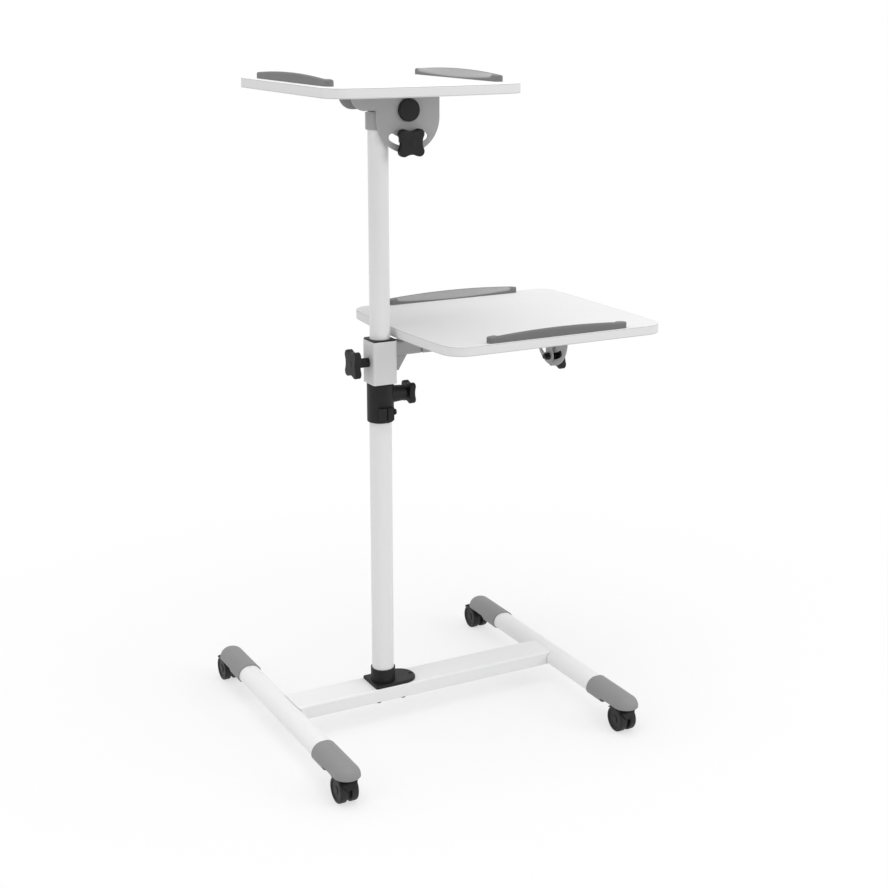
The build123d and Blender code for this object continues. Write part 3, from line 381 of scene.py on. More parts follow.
@dataclass(frozen=True)
class StopPlastic(MouldedPlastic):
    """Dark grained stop, with a painted highlight in its paler, smoother hollow.

    The mesh carries an attribute, mark, which is 1 in the hollow and 0 elsewhere.
    """

    painted_highlight_tone: float = 158.0
    hollow_gloss: float = 0.14
    highlight_patch_size: float = 0.004
    highlight_patch_share: float = 0.5
    least_share: float = 0.7

    def colour(self, bench: Bench) -> Wire:
        """Dark grey, with a painted highlight in the hollow, which noise makes slightly uneven."""
        # Painted highlight: the hollow is made paler, unevenly by noise, to stand for the light that the
        # scoop catches.
        highlight_patches = bench.noise(self.highlight_patch_size, 3.0) * self.highlight_patch_share + self.least_share
        return bench.blend(bench.mark() * highlight_patches, super().colour(bench), grey(self.painted_highlight_tone))

    def gloss(self, bench: Bench) -> Wire:
        """Roughness map, lower in the hollow."""
        return super().gloss(bench) - bench.mark() * self.hollow_gloss


class Paint(Enum):
    """The finishes of the cart, each with its tone, gloss and grain."""

    WHITE_STEEL = PowderCoat("white_powder_coat", "white_steel", 240, 0.38, drift=1.5)
    # Painted light: a lighter copy of the white powder coat, on the same slot, for the base.
    LIT_BASE_STEEL = PowderCoat("base_powder_coat_painted_light", "white_steel", 249, 0.38, drift=1.5)
    GREY_STEEL = PowderCoat("grey_powder_coat", "grey_steel", 168, 0.45, drift=3, peel=0.0024)
    PLAIN_STEEL = BareMetal("zinc_plated_steel", "plain_steel", 182, 0.36, drift=12, depth=0.00002)
    FASTENER = BareMetal(
        "black_oxide_screws", "dark_fastener", 44, 0.4, drift=10, grain=0.0006, metallic=0.75
    )
    GREY_PLASTIC = MouldedPlastic(
        "grey_moulded_plastic", "grey_plastic", 146, 0.55, grain=0.0009, depth=0.00005
    )
    # Painted shade: a darker copy of the grey plastic on the same slot, with a painted highlight in the
    # hollow.
    SHADED_STOP_PLASTIC = StopPlastic(
        "grey_stop_plastic_painted_shade_and_highlight", "grey_plastic", 112, 0.55, grain=0.0009, depth=0.00005
    )
    # Painted shade: a darker copy of the white powder coat, on the same slot, for the sleeve.
    SHADED_SLEEVE_STEEL = PowderCoat("sleeve_powder_coat_painted_shade", "white_steel", 224, 0.4, drift=2)
    BLACK_PLASTIC = MouldedPlastic(
        "black_moulded_plastic", "black_plastic", 24, 0.5, grain=0.0009, depth=0.00006, reflection=0.28
    )
    CASTER_PIN = BareMetal("bright_caster_pins", "caster_pin", 176, 0.3, drift=10, grain=0.0005)
    WHEEL = WheelPlastic("black_nylon_wheel", "caster_wheel", 25, 0.48, grain=0.0014, reflection=0.28)
    UPPER_BOARD = Melamine(
        "white_upper_board", "white_board", 240, 0.55, drift=1, grain=0.0007, depth=0.00002,
        node="upper_shelf",
    )
    LOWER_BOARD = Melamine(
        "white_lower_board", "white_board", 232, 0.55, drift=1, grain=0.0007, depth=0.00002,
        node="lower_shelf",
    )


class PaintShop:
    """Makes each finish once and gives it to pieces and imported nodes."""

    def __init__(self) -> None:
        """Start with no finish made."""
        self.made: dict[Paint, bpy.types.Material] = {}

    def mix(self, paint: Paint) -> bpy.types.Material:
        """Give a finish's material, made at its first use.

        Args:
            paint: the finish.

        Returns:
            Its material.
        """
        if paint not in self.made:
            self.made[paint] = paint.value.make()
        return self.made[paint]

    def coat_node(self, node: str, paint: Paint) -> None:
        """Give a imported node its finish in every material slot."""
        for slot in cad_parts[node].material_slots:
            slot.material = self.mix(paint)

    def coat_piece(self, piece: bpy.types.Object, paint: Paint) -> None:
        """Give a new piece its finish."""
        piece.data.materials.append(self.mix(paint))


class Drive(Enum):
    """Recess in a screw's head."""

    HEX = "hex"
    CROSS = "cross"

    def outline(self, size: float, angles: np.ndarray) -> np.ndarray:
        """Radius of the recess at each angle.

        A hexagon's radius is its inner radius over the cosine of the angle from the
        middle of its nearest side. A cross swings between a waist and its arms with a high
        power of the cosine of twice the angle.

        Args:
            size: inner radius of the hexagon, or reach of the cross's arms.
            angles: angles in radians.

        Returns:
            One radius for each angle.
        """
        if self is Drive.HEX:
            sector = math.pi / 3
            return size / np.cos(np.mod(angles, sector) - sector / 2)
        arms = np.abs(np.cos(2 * angles)) ** CROSS_POWER
        return size * (CROSS_WAIST_SHARE + (1 - CROSS_WAIST_SHARE) * arms)


@dataclass
class Sheet:
    """Grid of points that is one surface of a piece.

    points has rows, columns and x, y, z. A closed direction joins its last line to its first.
    """

    points: np.ndarray
    close_rows: bool = False
    close_columns: bool = False
    mark: np.ndarray | None = None

    def quads(self, first: int) -> np.ndarray:
        """Corner numbers of the grid's four-sided faces.

        Each face joins a point, the next in its row, and their neighbours in the next row.

        Args:
            first: number of the grid's first point in the mesh.

        Returns:
            One row of four numbers for each face.
        """
        rows, columns = self.points.shape[:2]
        row = np.arange(rows if self.close_rows else rows - 1)[:, None]
        column = np.arange(columns if self.close_columns else columns - 1)[None, :]
        below = (row + 1) % rows
        beside = (column + 1) % columns
        corners = [
            row * columns + column,
            row * columns + beside,
            below * columns + beside,
            below * columns + column,
        ]
        return first + np.stack(np.broadcast_arrays(*corners), -1).reshape(-1, 4)


def basis(axis: np.ndarray) -> tuple[np.ndarray, np.ndarray]:
    """Two unit vectors square to an axis and to each other.

    Args:
        axis: unit vector.

    Returns:
        The two vectors, which turn the right-hand way about the axis.
    """
    helper = np.array([0.0, 0.0, 1.0] if abs(axis[2]) < UPRIGHT_SHARE else [1.0, 0.0, 0.0])
    across = np.cross(axis, helper)
    across /= np.linalg.norm(across)
    return across, np.cross(axis, across)


def turned(
    centre: np.ndarray, axis: np.ndarray, along: np.ndarray, radii: np.ndarray, steps: int
) -> Sheet:
    """Surface of revolution, whose radius may also change with the angle.

    A point lies at its distance along the axis from the centre, and at its radius from the
    axis in the direction of its angle.

    Args:
        centre: point on the axis.
        axis: unit vector.
        along: distance of each ring along the axis.
        radii: radius of each ring, or of each ring at each angle.
        steps: number of angles.

    Returns:
        The sheet, closed round the axis.
    """
    angles = np.linspace(0, 2 * math.pi, steps, endpoint=False)
    across, up = basis(axis)
    spokes = np.cos(angles)[:, None] * across + np.sin(angles)[:, None] * up
    radii = radii if radii.ndim == 2 else np.repeat(radii[:, None], steps, 1)
    points = centre + along[:, None, None] * axis + radii[..., None] * spokes[None]
    return Sheet(points, close_columns=True)


def rounded(profile: list[tuple[float, float, float]], steps: int = 6) -> np.ndarray:
    """Round the corners of an open profile.

    Each inner corner is replaced by a quadratic curve that leaves its two sides at the
    corner's radius from it, and bends towards the corner.

    Args:
        profile: points as distance along, radius from the axis, and corner radius.
        steps: points on each rounded corner.

    Returns:
        Array of distance along and radius.
    """
    points = [np.array(profile[0][:2])]
    share = np.linspace(0, 1, steps)[:, None]
    for before, here, after in zip(profile, profile[1:], profile[2:]):
        corner, radius = np.array(here[:2]), here[2]
        if radius <= 0:
            points.append(corner)
            continue
        ends = []
        for other in (before, after):
            side = np.array(other[:2]) - corner
            length = np.linalg.norm(side)
            ends.append(corner + side / length * min(radius, CORNER_LIMIT_SHARE * length))
        curve = (1 - share) ** 2 * ends[0] + 2 * share * (1 - share) * corner + share**2 * ends[1]
        points.extend(curve)
    points.append(np.array(profile[-1][:2]))
    return np.array(points)


def assemble(name: str, sheets: list[Sheet], body: str, sharp_degrees: float = 35.0) -> bpy.types.Object:
    """Make one mesh object from sheets, with closed poles and smooth faces.

    Args:
        name: the piece's name.
        sheets: its surfaces.
        body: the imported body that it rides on.
        sharp_degrees: edges that turn by more than this stay sharp.

    Returns:
        The object, at the origin.
    """
    points = [sheet.points.reshape(-1, 3) for sheet in sheets]
    firsts = np.cumsum([0] + [len(group) for group in points[:-1]])
    faces = np.concatenate([sheet.quads(first) for sheet, first in zip(sheets, firsts)])
    mesh = bpy.data.meshes.new(name)
    mesh.from_pydata(np.concatenate(points).tolist(), [], faces.tolist())
    if any(sheet.mark is not None for sheet in sheets):
        layer = mesh.attributes.new("mark", "FLOAT", "POINT")
        marks = [
            np.zeros(len(group)) if sheet.mark is None else sheet.mark.reshape(-1)
            for sheet, group in zip(sheets, points)
        ]
        layer.data.foreach_set("value", np.concatenate(marks).astype(np.float32))
    work = bmesh.new()
    work.from_mesh(mesh)
    bmesh.ops.remove_doubles(work, verts=work.verts, dist=1e-6)
    bmesh.ops.dissolve_degenerate(work, edges=work.edges, dist=1e-7)
    bmesh.ops.recalc_face_normals(work, faces=work.faces)
    work.to_mesh(mesh)
    work.free()
    mesh.shade_smooth()
    mesh.set_sharp_from_angle(angle=math.radians(sharp_degrees))
    piece = bpy.data.objects.new(name, mesh)
    bpy.context.scene.collection.objects.link(piece)
    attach(piece, body)
    return piece


@dataclass(frozen=True)
class Screw:
    """Screw with a domed head and a recess.

    Sizes are metres. The recess's shares are those of its rings, from the middle of its floor
    to its rim: of its outline, and of the head's height. Other shares are of the head's radius,
    but the dome's fall is a share of the head's height.
    """

    head_radius: float
    head_height: float
    shank_radius: float
    shank_length: float
    drive: Drive = Drive.CROSS
    hex_share: float = 0.5
    cross_share: float = 0.66
    recess_radius_shares: tuple[float, ...] = (0.0, 0.5, 1.0, 1.0, 1.06)
    recess_height_shares: tuple[float, ...] = (0.35, 0.38, 0.42, 0.97, 1.0)
    dome_centre_share: float = 0.72
    dome_start_share: float = 0.78
    dome_fall_share: float = 0.72
    dome_rings: int = 6
    steps: int = 48

    def surface(self, seat: np.ndarray, outward: np.ndarray) -> Sheet:
        """One closed surface of the screw.

        Rings run from the middle of the recess's floor out to its wall, up the wall, over the
        domed head to its rim, in under the head, and down the shank to its end. In and at the
        recess the rings follow its outline, and beyond it they are round.

        Args:
            seat: middle of the face that the head lies on.
            outward: unit vector out of the head.

        Returns:
            The sheet.
        """
        angles = np.linspace(0, 2 * math.pi, self.steps, endpoint=False)
        size_share = self.hex_share if self.drive is Drive.HEX else self.cross_share
        recess = self.drive.outline(self.head_radius * size_share, angles)
        crown = self.head_height
        dome_shares = np.linspace(self.dome_start_share, 1.0, self.dome_rings)
        past = (dome_shares - self.dome_centre_share) / (1 - self.dome_centre_share)
        fall = 1 - np.sqrt(np.clip(1 - past**2, 0, 1))
        whole = np.ones(self.steps)
        radii = [share * recess for share in self.recess_radius_shares]
        heights = [share * crown for share in self.recess_height_shares]
        radii += [whole * share * self.head_radius for share in dome_shares]
        heights += list(crown - self.dome_fall_share * crown * fall)
        for radius, height in (
            (self.head_radius, 0.0),
            (self.shank_radius, 0.0),
            (self.shank_radius, -self.shank_length),
            (0.0, -self.shank_length),
        ):
            radii.append(whole * radius)
            heights.append(height)
        return turned(seat, outward, np.array(heights), np.array(radii), self.steps)


class SubAssembly:
    """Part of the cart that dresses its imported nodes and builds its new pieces."""

    coats: dict[Paint, tuple[str, ...]] = {}

    def dress(self, shop: PaintShop) -> None:
        """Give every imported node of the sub-assembly its finish.

        Args:
            shop: where the finishes come from.
        """
        for paint, nodes in self.coats.items():
            for node in nodes:
                shop.coat_node(node, paint)

    def build(self, shop: PaintShop) -> list[bpy.types.Object]:
        """Make the new pieces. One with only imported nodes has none."""
        return []

    def finish_piece(
        self, shop: PaintShop, piece: bpy.types.Object, paint: Paint, *replaced: str
    ) -> bpy.types.Object:
        """Coat a new piece and hide the nodes that it stands for.

        Args:
            shop: where the finish comes from.
            piece: the new piece.
            paint: its finish.
            replaced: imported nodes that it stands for.

        Returns:
            The same piece.
        """
        shop.coat_piece(piece, paint)
        if replaced:
            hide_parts(*replaced)
        return piece


def screw_group(
    name: str, node: str, screw: Screw, body: str, insets: tuple[float, ...] = (0.0,)
) -> bpy.types.Object:
    """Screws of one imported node, driven from below, at its box's corners and further in along X.

    Args:
        name: the piece's name.
        node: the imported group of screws.
        screw: their size.
        body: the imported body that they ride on.
        insets: distances in from both ends along X at which a pair stands, in metres.

    Returns:
        The piece.
    """
    low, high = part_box(node)
    radius = screw.head_radius
    seat = low.z + screw.head_height
    sheets = []
    for inset in insets:
        for x in (low.x + radius + inset, high.x - radius - inset):
            for y in (low.y + radius, high.y - radius):
                sheets.append(screw.surface(np.array([x, y, seat]), DOWN))
    return assemble(name, sheets, body)


@dataclass
class Base(SubAssembly):
    """H base: two side tubes, the beam, the joints, the end caps and the column's foot."""

    joint_screw: Screw = Screw(5.5 * MM, 3.0 * MM, 3.0 * MM, 9.0 * MM)
    cap_screw: Screw = Screw(6.0 * MM, 2.6 * MM, 2.5 * MM, 8.0 * MM)
    foot_bolt: Screw = Screw(5.5 * MM, 2.5 * MM, 3.0 * MM, 28.0 * MM, Drive.HEX)
    plate_screw: Screw = Screw(3.6 * MM, 1.1 * MM, 1.6 * MM, 3.5 * MM)
    block_spacing: float = 42.8 * MM
    plate_screw_x: float = -66.9 * MM
    plate_thickness: float = 5.0 * MM

    coats = {
        Paint.LIT_BASE_STEEL: ("left_side_tube", "right_side_tube", "cross_beam"),
        Paint.PLAIN_STEEL: ("left_joint_block", "right_joint_block"),
        Paint.GREY_PLASTIC: tuple(f"{corner}_end_cap" for corner in CORNERS),
        Paint.BLACK_PLASTIC: ("column_foot",),
    }

    def build(self, shop: PaintShop) -> list[bpy.types.Object]:
        """Make the screws with their recesses, and the small one in the foot's round end.

        Args:
            shop: where the finishes come from.

        Returns:
            The new pieces.
        """
        pieces = []
        for name, node, screw, insets in (
            ("joint_screw_heads", "joint_screws", self.joint_screw, (0.0, self.block_spacing)),
            ("end_cap_screw_heads", "end_cap_screws", self.cap_screw, (0.0,)),
            ("foot_bolt_heads", "foot_bolts", self.foot_bolt, (0.0,)),
        ):
            heads = screw_group(name, node, screw, "base", insets)
            pieces.append(self.finish_piece(shop, heads, Paint.FASTENER, node))
        low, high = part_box("column_foot")
        plate_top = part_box("cross_beam")[1].z + self.plate_thickness
        seat = np.array([self.plate_screw_x, (low.y + high.y) / 2, plate_top])
        plate = assemble("foot_plate_screw", [self.plate_screw.surface(seat, -DOWN)], "base")
        return [*pieces, self.finish_piece(shop, plate, Paint.FASTENER)]


@dataclass
class Caster(SubAssembly):
    """Twin-wheel caster at one corner. Sizes are metres.

    A slope is how far a wall leans outwards, and the tread's share is of the wheel's radius.
    """

    corner: str = "front_left"
    tread_round: float = 3.4 * MM
    tread_share: float = 0.93
    inner_round: float = 2.2 * MM
    dish_radius: float = 16.0 * MM
    dish_depth: float = 1.4 * MM
    dish_round: float = 0.6 * MM
    rim_slope: float = 0.5 * MM
    rim_round: float = 0.5 * MM
    hub_radius: float = 6.5 * MM
    hub_height: float = 1.0 * MM
    hub_round: float = 0.8 * MM
    groove_depth: float = 0.4 * MM
    groove_width: float = 0.9 * MM
    groove_slope: float = 0.5 * MM
    groove_round: float = 0.3 * MM
    bore_radius: float = 2.5 * MM
    bore_depth: float = 4.0 * MM
    recess_width: float = 1.2 * MM
    recess_depth: float = 0.6 * MM
    recess_slope: float = 0.4 * MM
    recess_floor_round: float = 0.2 * MM
    recess_edge_round: float = 0.3 * MM
    steps: int = 96
    sharp_degrees: float = 40.0

    def dress(self, shop: PaintShop) -> None:
        """Coat the housing and the pins."""
        shop.coat_node(f"{self.corner}_caster_housing", Paint.BLACK_PLASTIC)
        shop.coat_node(f"{self.corner}_caster_pins", Paint.CASTER_PIN)

    def wheel(self, side: str, hand: int) -> bpy.types.Object:
        """Wheel turned from one profile.

        The profile runs from the middle of the hub over a groove into the dish, up the dish's
        wall to the outer face, round the tread, down the inner face, into the recess round the
        bore and down the bore to the axis. The tread's mark rises where the radius nears the
        wheel's.

        Args:
            side: left or right.
            hand: -1 for the left wheel and 1 for the right one, the way the dish looks.

        Returns:
            The piece.
        """
        node = f"{self.corner}_caster_{side}_wheel"
        low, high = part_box(node)
        centre = np.array((low + high) / 2)
        radius, half = (high.z - low.z) / 2, (high.x - low.x) / 2
        floor = half - self.dish_depth
        hub_top = floor + self.hub_height
        groove_floor = floor - self.groove_depth
        groove_start = self.hub_radius + self.groove_slope
        groove_end = groove_start + self.groove_width
        recess_floor = -half + self.recess_depth
        recess_radius = self.bore_radius + self.recess_width
        bore_floor = -half + self.bore_depth
        profile = rounded(
            [
                (hub_top, 0.0, 0),
                (hub_top, self.hub_radius, self.hub_round),
                (groove_floor, groove_start, self.groove_round),
                (groove_floor, groove_end, self.groove_round),
                (floor, groove_end + self.groove_slope, self.groove_round),
                (floor, self.dish_radius, self.dish_round),
                (half, self.dish_radius + self.rim_slope, self.rim_round),
                (half, radius, self.tread_round),
                (-half, radius, self.inner_round),
                (-half, recess_radius + self.recess_slope, self.recess_edge_round),
                (recess_floor, recess_radius, self.recess_floor_round),
                (recess_floor, self.bore_radius, 0),
                (bore_floor, self.bore_radius, 0),
                (bore_floor, 0.0, 0),
            ]
        )
        along, radii = profile.T
        sheet = turned(centre, np.array([hand, 0.0, 0.0]), along, radii, self.steps)
        rise = np.clip((radii / radius - self.tread_share) / (1 - self.tread_share), 0, 1)
        sheet.mark = np.repeat(rise[:, None], self.steps, 1)
        return assemble(f"{node}_turned", [sheet], f"{self.corner}_{side}_wheel", self.sharp_degrees)

    def build(self, shop: PaintShop) -> list[bpy.types.Object]:
        """Make both wheels.

        Args:
            shop: where the finishes come from.

        Returns:
            The new pieces.
        """
        return [
            self.finish_piece(
                shop, self.wheel(side, hand), Paint.WHEEL, f"{self.corner}_caster_{side}_wheel"
            )
            for side, hand in (("left", -1), ("right", 1))
        ]


@dataclass
class Column(SubAssembly):
    """Lower tube, mast, the guide between them and the clamp collar."""

    pinch_screw: Screw = Screw(5.4 * MM, 4.2 * MM, 2.2 * MM, 26.0 * MM, Drive.HEX)

    coats = {
        Paint.WHITE_STEEL: ("lower_column_tube", "mast_tube"),
        Paint.BLACK_PLASTIC: ("mast_guide_plug", "clamp_collar", "glide_ring"),
    }

    def build(self, shop: PaintShop) -> list[bpy.types.Object]:
        """Make the collar's pinch screw with its socket.

        Args:
            shop: where the finishes come from.

        Returns:
            The new pieces.
        """
        low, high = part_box("collar_pinch_screw")
        middle = (low + high) / 2
        seat = np.array([high.x - self.pinch_screw.head_height, middle.y, middle.z])
        sheet = self.pinch_screw.surface(seat, np.array([1.0, 0.0, 0.0]))
        piece = assemble("pinch_screw_socket", [sheet], "base")
        return [self.finish_piece(shop, piece, Paint.FASTENER, "collar_pinch_screw")]


@dataclass
class ShelfArm(SubAssembly):
    """Sleeve on the mast, its bushes, the arm welded to it, the shaft and the clamp strap.

    Sizes are metres. The arm's depth is its height at the sleeve, and the corner's power
    sets how square the bead's path is.
    """

    arm_depth: float = 23.5 * MM
    bead_radius: float = 1.2 * MM
    bead_pitch: float = 1.7 * MM
    ripple_share: float = 0.14
    corner_power: float = 9.0
    path_steps: int = 360
    ring_steps: int = 12
    sharp_degrees: float = 80.0

    coats = {
        Paint.SHADED_SLEEVE_STEEL: ("shelf_sleeve",),
        Paint.BLACK_PLASTIC: ("sleeve_bushes", "lower_pivot_cap"),
        Paint.GREY_STEEL: ("shelf_arm", "lower_clamp_strap"),
        Paint.PLAIN_STEEL: ("lower_pivot_shaft",),
        Paint.FASTENER: ("lower_tilt_nut",),
    }

    def weld(self) -> Sheet:
        """Weld bead round the arm where it meets the sleeve.

        A small circle is carried round a rounded rectangle, and its radius swells and
        shrinks with the length run, as a bead's ripples do.

        Returns:
            The sheet, closed both ways.
        """
        sleeve_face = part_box("shelf_sleeve")[1].x
        low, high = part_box("shelf_arm")
        half = np.array([high.y - low.y, self.arm_depth]) / 2
        middle = np.array([(high.y + low.y) / 2, high.z - self.arm_depth / 2])
        angles = np.linspace(0, 2 * math.pi, self.path_steps, endpoint=False)
        ray = np.stack([np.cos(angles), np.sin(angles)], 1)
        reach = (np.abs(ray / half) ** self.corner_power).sum(1) ** (-1 / self.corner_power)
        path = middle + ray * reach[:, None]
        step = np.linalg.norm(np.roll(path, -1, 0) - path, axis=1)
        run = np.cumsum(step)
        ripples = round(run[-1] / self.bead_pitch)
        swell = self.ripple_share * np.cos(2 * math.pi * ripples * run / run[-1])
        radius = self.bead_radius * (1 + swell)
        turn = np.linspace(0, 2 * math.pi, self.ring_steps, endpoint=False)
        outward = path[:, None, :] + (radius[:, None] * np.cos(turn))[..., None] * ray[:, None, :]
        depth = sleeve_face + radius[:, None] * np.sin(turn)
        return Sheet(np.concatenate([depth[..., None], outward], -1), True, True)

    def build(self, shop: PaintShop) -> list[bpy.types.Object]:
        """Make the weld bead."""
        bead = assemble("arm_weld_bead", [self.weld()], "sleeve", self.sharp_degrees)
        return [self.finish_piece(shop, bead, Paint.GREY_STEEL)]


@dataclass
class Shelf(SubAssembly):
    """One board with its tilt bracket, screws and two stops.

    Sizes are metres. Of the shares, the ridge's is of a stop's half width, the scoop's of its
    half length, the softness's of the edge's round, and the mark's of the mark's depth.
    """

    word: str = "upper"
    tray: str = "upper_tray"
    long_axis: int = 1
    stops: tuple[tuple[str, int], ...] = (("left", 1), ("right", -1))
    board: Paint = Paint.UPPER_BOARD
    screw: Screw = Screw(4.0 * MM, 2.2 * MM, 2.0 * MM, 12.0 * MM)
    end_height: float = 9.5 * MM
    seat_depth: float = 0.5 * MM
    crown_round: float = 3.0 * MM
    ridge_share: float = 0.35
    scoop_reach_share: float = 0.88
    scoop_floor: float = 3.4 * MM
    scoop_power: float = 0.9
    softness_share: float = 0.62
    mark_depth: float = 0.6 * MM
    mark_start_share: float = 0.2
    length_steps: int = 121
    width_steps: int = 41
    side_steps: int = 4
    sharp_degrees: float = 28.0

    def dress(self, shop: PaintShop) -> None:
        """Coat the board and its bracket."""
        shop.coat_node(f"{self.word}_shelf", self.board)
        shop.coat_node(f"{self.word}_saddle", Paint.GREY_STEEL)

    def stop(self, side: str, inward: int) -> bpy.types.Object:
        """Arched stop with a long scoop on the side that looks over the board.

        Along the stop u runs from -1 to 1. Its half width is constant and ends in round
        noses, and its top is an arc that is highest in the middle. Across it v runs from -1 on
        the inner side to 1 on the outer one. Inside a ridge the top falls evenly towards
        the inner side, by a depth that follows a half ellipse of u and is nothing near the
        ends, and both edges are rounded. The mark is 1 where the top has fallen. The
        section's ring runs up the outer side, over the top, down the inner side and back under.

        Args:
            side: the stop's word in its name.
            inward: 1 or -1, the way along the short axis that the board's middle lies.

        Returns:
            The piece.
        """
        node = f"{self.word}_{side}_stop"
        low, high = (np.array(corner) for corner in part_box(node))
        short_axis = 1 - self.long_axis
        length = high[self.long_axis] - low[self.long_axis]
        half = (high[short_axis] - low[short_axis]) / 2
        middle = (low + high) / 2
        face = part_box(f"{self.word}_shelf")[1].z
        height = high[2] - face
        u = np.sin(np.linspace(-math.pi / 2, math.pi / 2, self.length_steps))
        x = u * length / 2
        straight = length / 2 - half
        past = np.clip(np.abs(x) - straight, 0, half)
        width = np.sqrt(np.clip(half**2 - past**2, 0, None))
        sag = height - self.end_height
        arc_radius = (length**2 / 4 + sag**2) / (2 * sag)
        top = height - (arc_radius - np.sqrt(arc_radius**2 - x**2))
        lens = np.sqrt(np.clip(1 - (u / self.scoop_reach_share) ** 2, 0, 1))[:, None]
        v = np.linspace(1, -1, self.width_steps)
        fall = np.clip((self.ridge_share - v) / (1 + self.ridge_share), 0, 1)
        nose = (width / half)[:, None]
        drop = lens * fall[None] ** self.scoop_power * (top - self.scoop_floor)[:, None] * nose
        edge_share = self.crown_round / half
        past_edge = np.clip((np.abs(v) - 1 + edge_share) / edge_share, 0, 1)
        edge = self.crown_round * (1 - np.sqrt(np.clip(1 - past_edge**2, 0, 1)))
        softness = 1 - self.softness_share * lens * (v < 0)[None]
        crown = top[:, None] - drop - edge[None] * nose * softness
        foot = -self.seat_depth
        side_shares = np.linspace(0, 1, self.side_steps, endpoint=False)
        outer = foot + (crown[:, :1] - foot) * side_shares
        inner = foot + (crown[:, -1:] - foot) * side_shares[::-1]
        heights = np.concatenate([outer, crown, inner], 1)
        side = np.ones(self.side_steps)
        across = np.concatenate([side, v, -side])
        points = np.empty(heights.shape + (3,))
        points[..., self.long_axis] = middle[self.long_axis] + x[:, None]
        points[..., short_axis] = middle[short_axis] - inward * across * width[:, None]
        points[..., 2] = face + heights
        hollow = np.clip(drop / self.mark_depth - self.mark_start_share, 0, 1)
        mark = np.concatenate([0 * outer, hollow, 0 * inner], 1)
        sheet = Sheet(points, close_columns=True, mark=mark)
        return assemble(f"{node}_scooped", [sheet], self.tray, self.sharp_degrees)

    def build(self, shop: PaintShop) -> list[bpy.types.Object]:
        """Make the stops and the screws under the board.

        Args:
            shop: where the finishes come from.

        Returns:
            The new pieces.
        """
        screws = f"{self.word}_shelf_screws"
        heads = screw_group(f"{self.word}_shelf_screw_heads", screws, self.screw, self.tray)
        pieces = [self.finish_piece(shop, heads, Paint.FASTENER, screws)]
        for side, inward in self.stops:
            stop = self.stop(side, inward)
            pieces.append(
                self.finish_piece(shop, stop, Paint.SHADED_STOP_PLASTIC, f"{self.word}_{side}_stop")
            )
        return pieces


class MastHead(SubAssembly):
    """Bracket on the mast's top with its pivot bolt, caps and nut."""

    coats = {
        Paint.GREY_STEEL: ("head_bracket",),
        Paint.PLAIN_STEEL: ("upper_pivot_bolt",),
        Paint.BLACK_PLASTIC: ("upper_pivot_caps",),
        Paint.FASTENER: ("upper_tilt_nut",),
    }


@dataclass
class ClampKnob(SubAssembly):
    """Four-lobed clamp knob with a cap over its stud.

    Sizes are metres. The shoulder's share is of the cap's height.
    """

    node: str = "collar_knob"
    body: str = "collar_clamp"
    outward: Place = (1.0, 0.0, 0.0)
    cap_radius: float = 6.2 * MM
    cap_height: float = 0.5 * MM
    cap_round: float = 0.5 * MM
    cap_dip: float = 0.6 * MM
    shoulder_share: float = 0.7
    steps: int = 48

    def dress(self, shop: PaintShop) -> None:
        """Coat the knob."""
        shop.coat_node(self.node, Paint.BLACK_PLASTIC)

    def build(self, shop: PaintShop) -> list[bpy.types.Object]:
        """Make the round cap, a shallow dome whose rim dips into the knob's face.

        Args:
            shop: where the finishes come from.

        Returns:
            The new pieces.
        """
        low, high = (np.array(corner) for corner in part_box(self.node))
        axis = np.array(self.outward)
        centre = (low + high) / 2
        ahead = float(np.abs((high - low) @ axis)) / 2
        profile = rounded(
            [
                (ahead + self.cap_height, 0.0, 0),
                (ahead + self.shoulder_share * self.cap_height, self.cap_radius, self.cap_round),
                (ahead - self.cap_dip, self.cap_radius, 0),
                (ahead - self.cap_dip, 0.0, 0),
            ]
        )
        sheet = turned(centre, axis, *profile.T, self.steps)
        cap = assemble(f"{self.node}_cap", [sheet], self.body)
        return [self.finish_piece(shop, cap, Paint.BLACK_PLASTIC)]


def connect(tree: bpy.types.NodeTree, *links: tuple[bpy.types.NodeSocket, bpy.types.NodeSocket]) -> None:
    """Link each pair of an output and an input."""
    for start, end in links:
        tree.links.new(start, end)


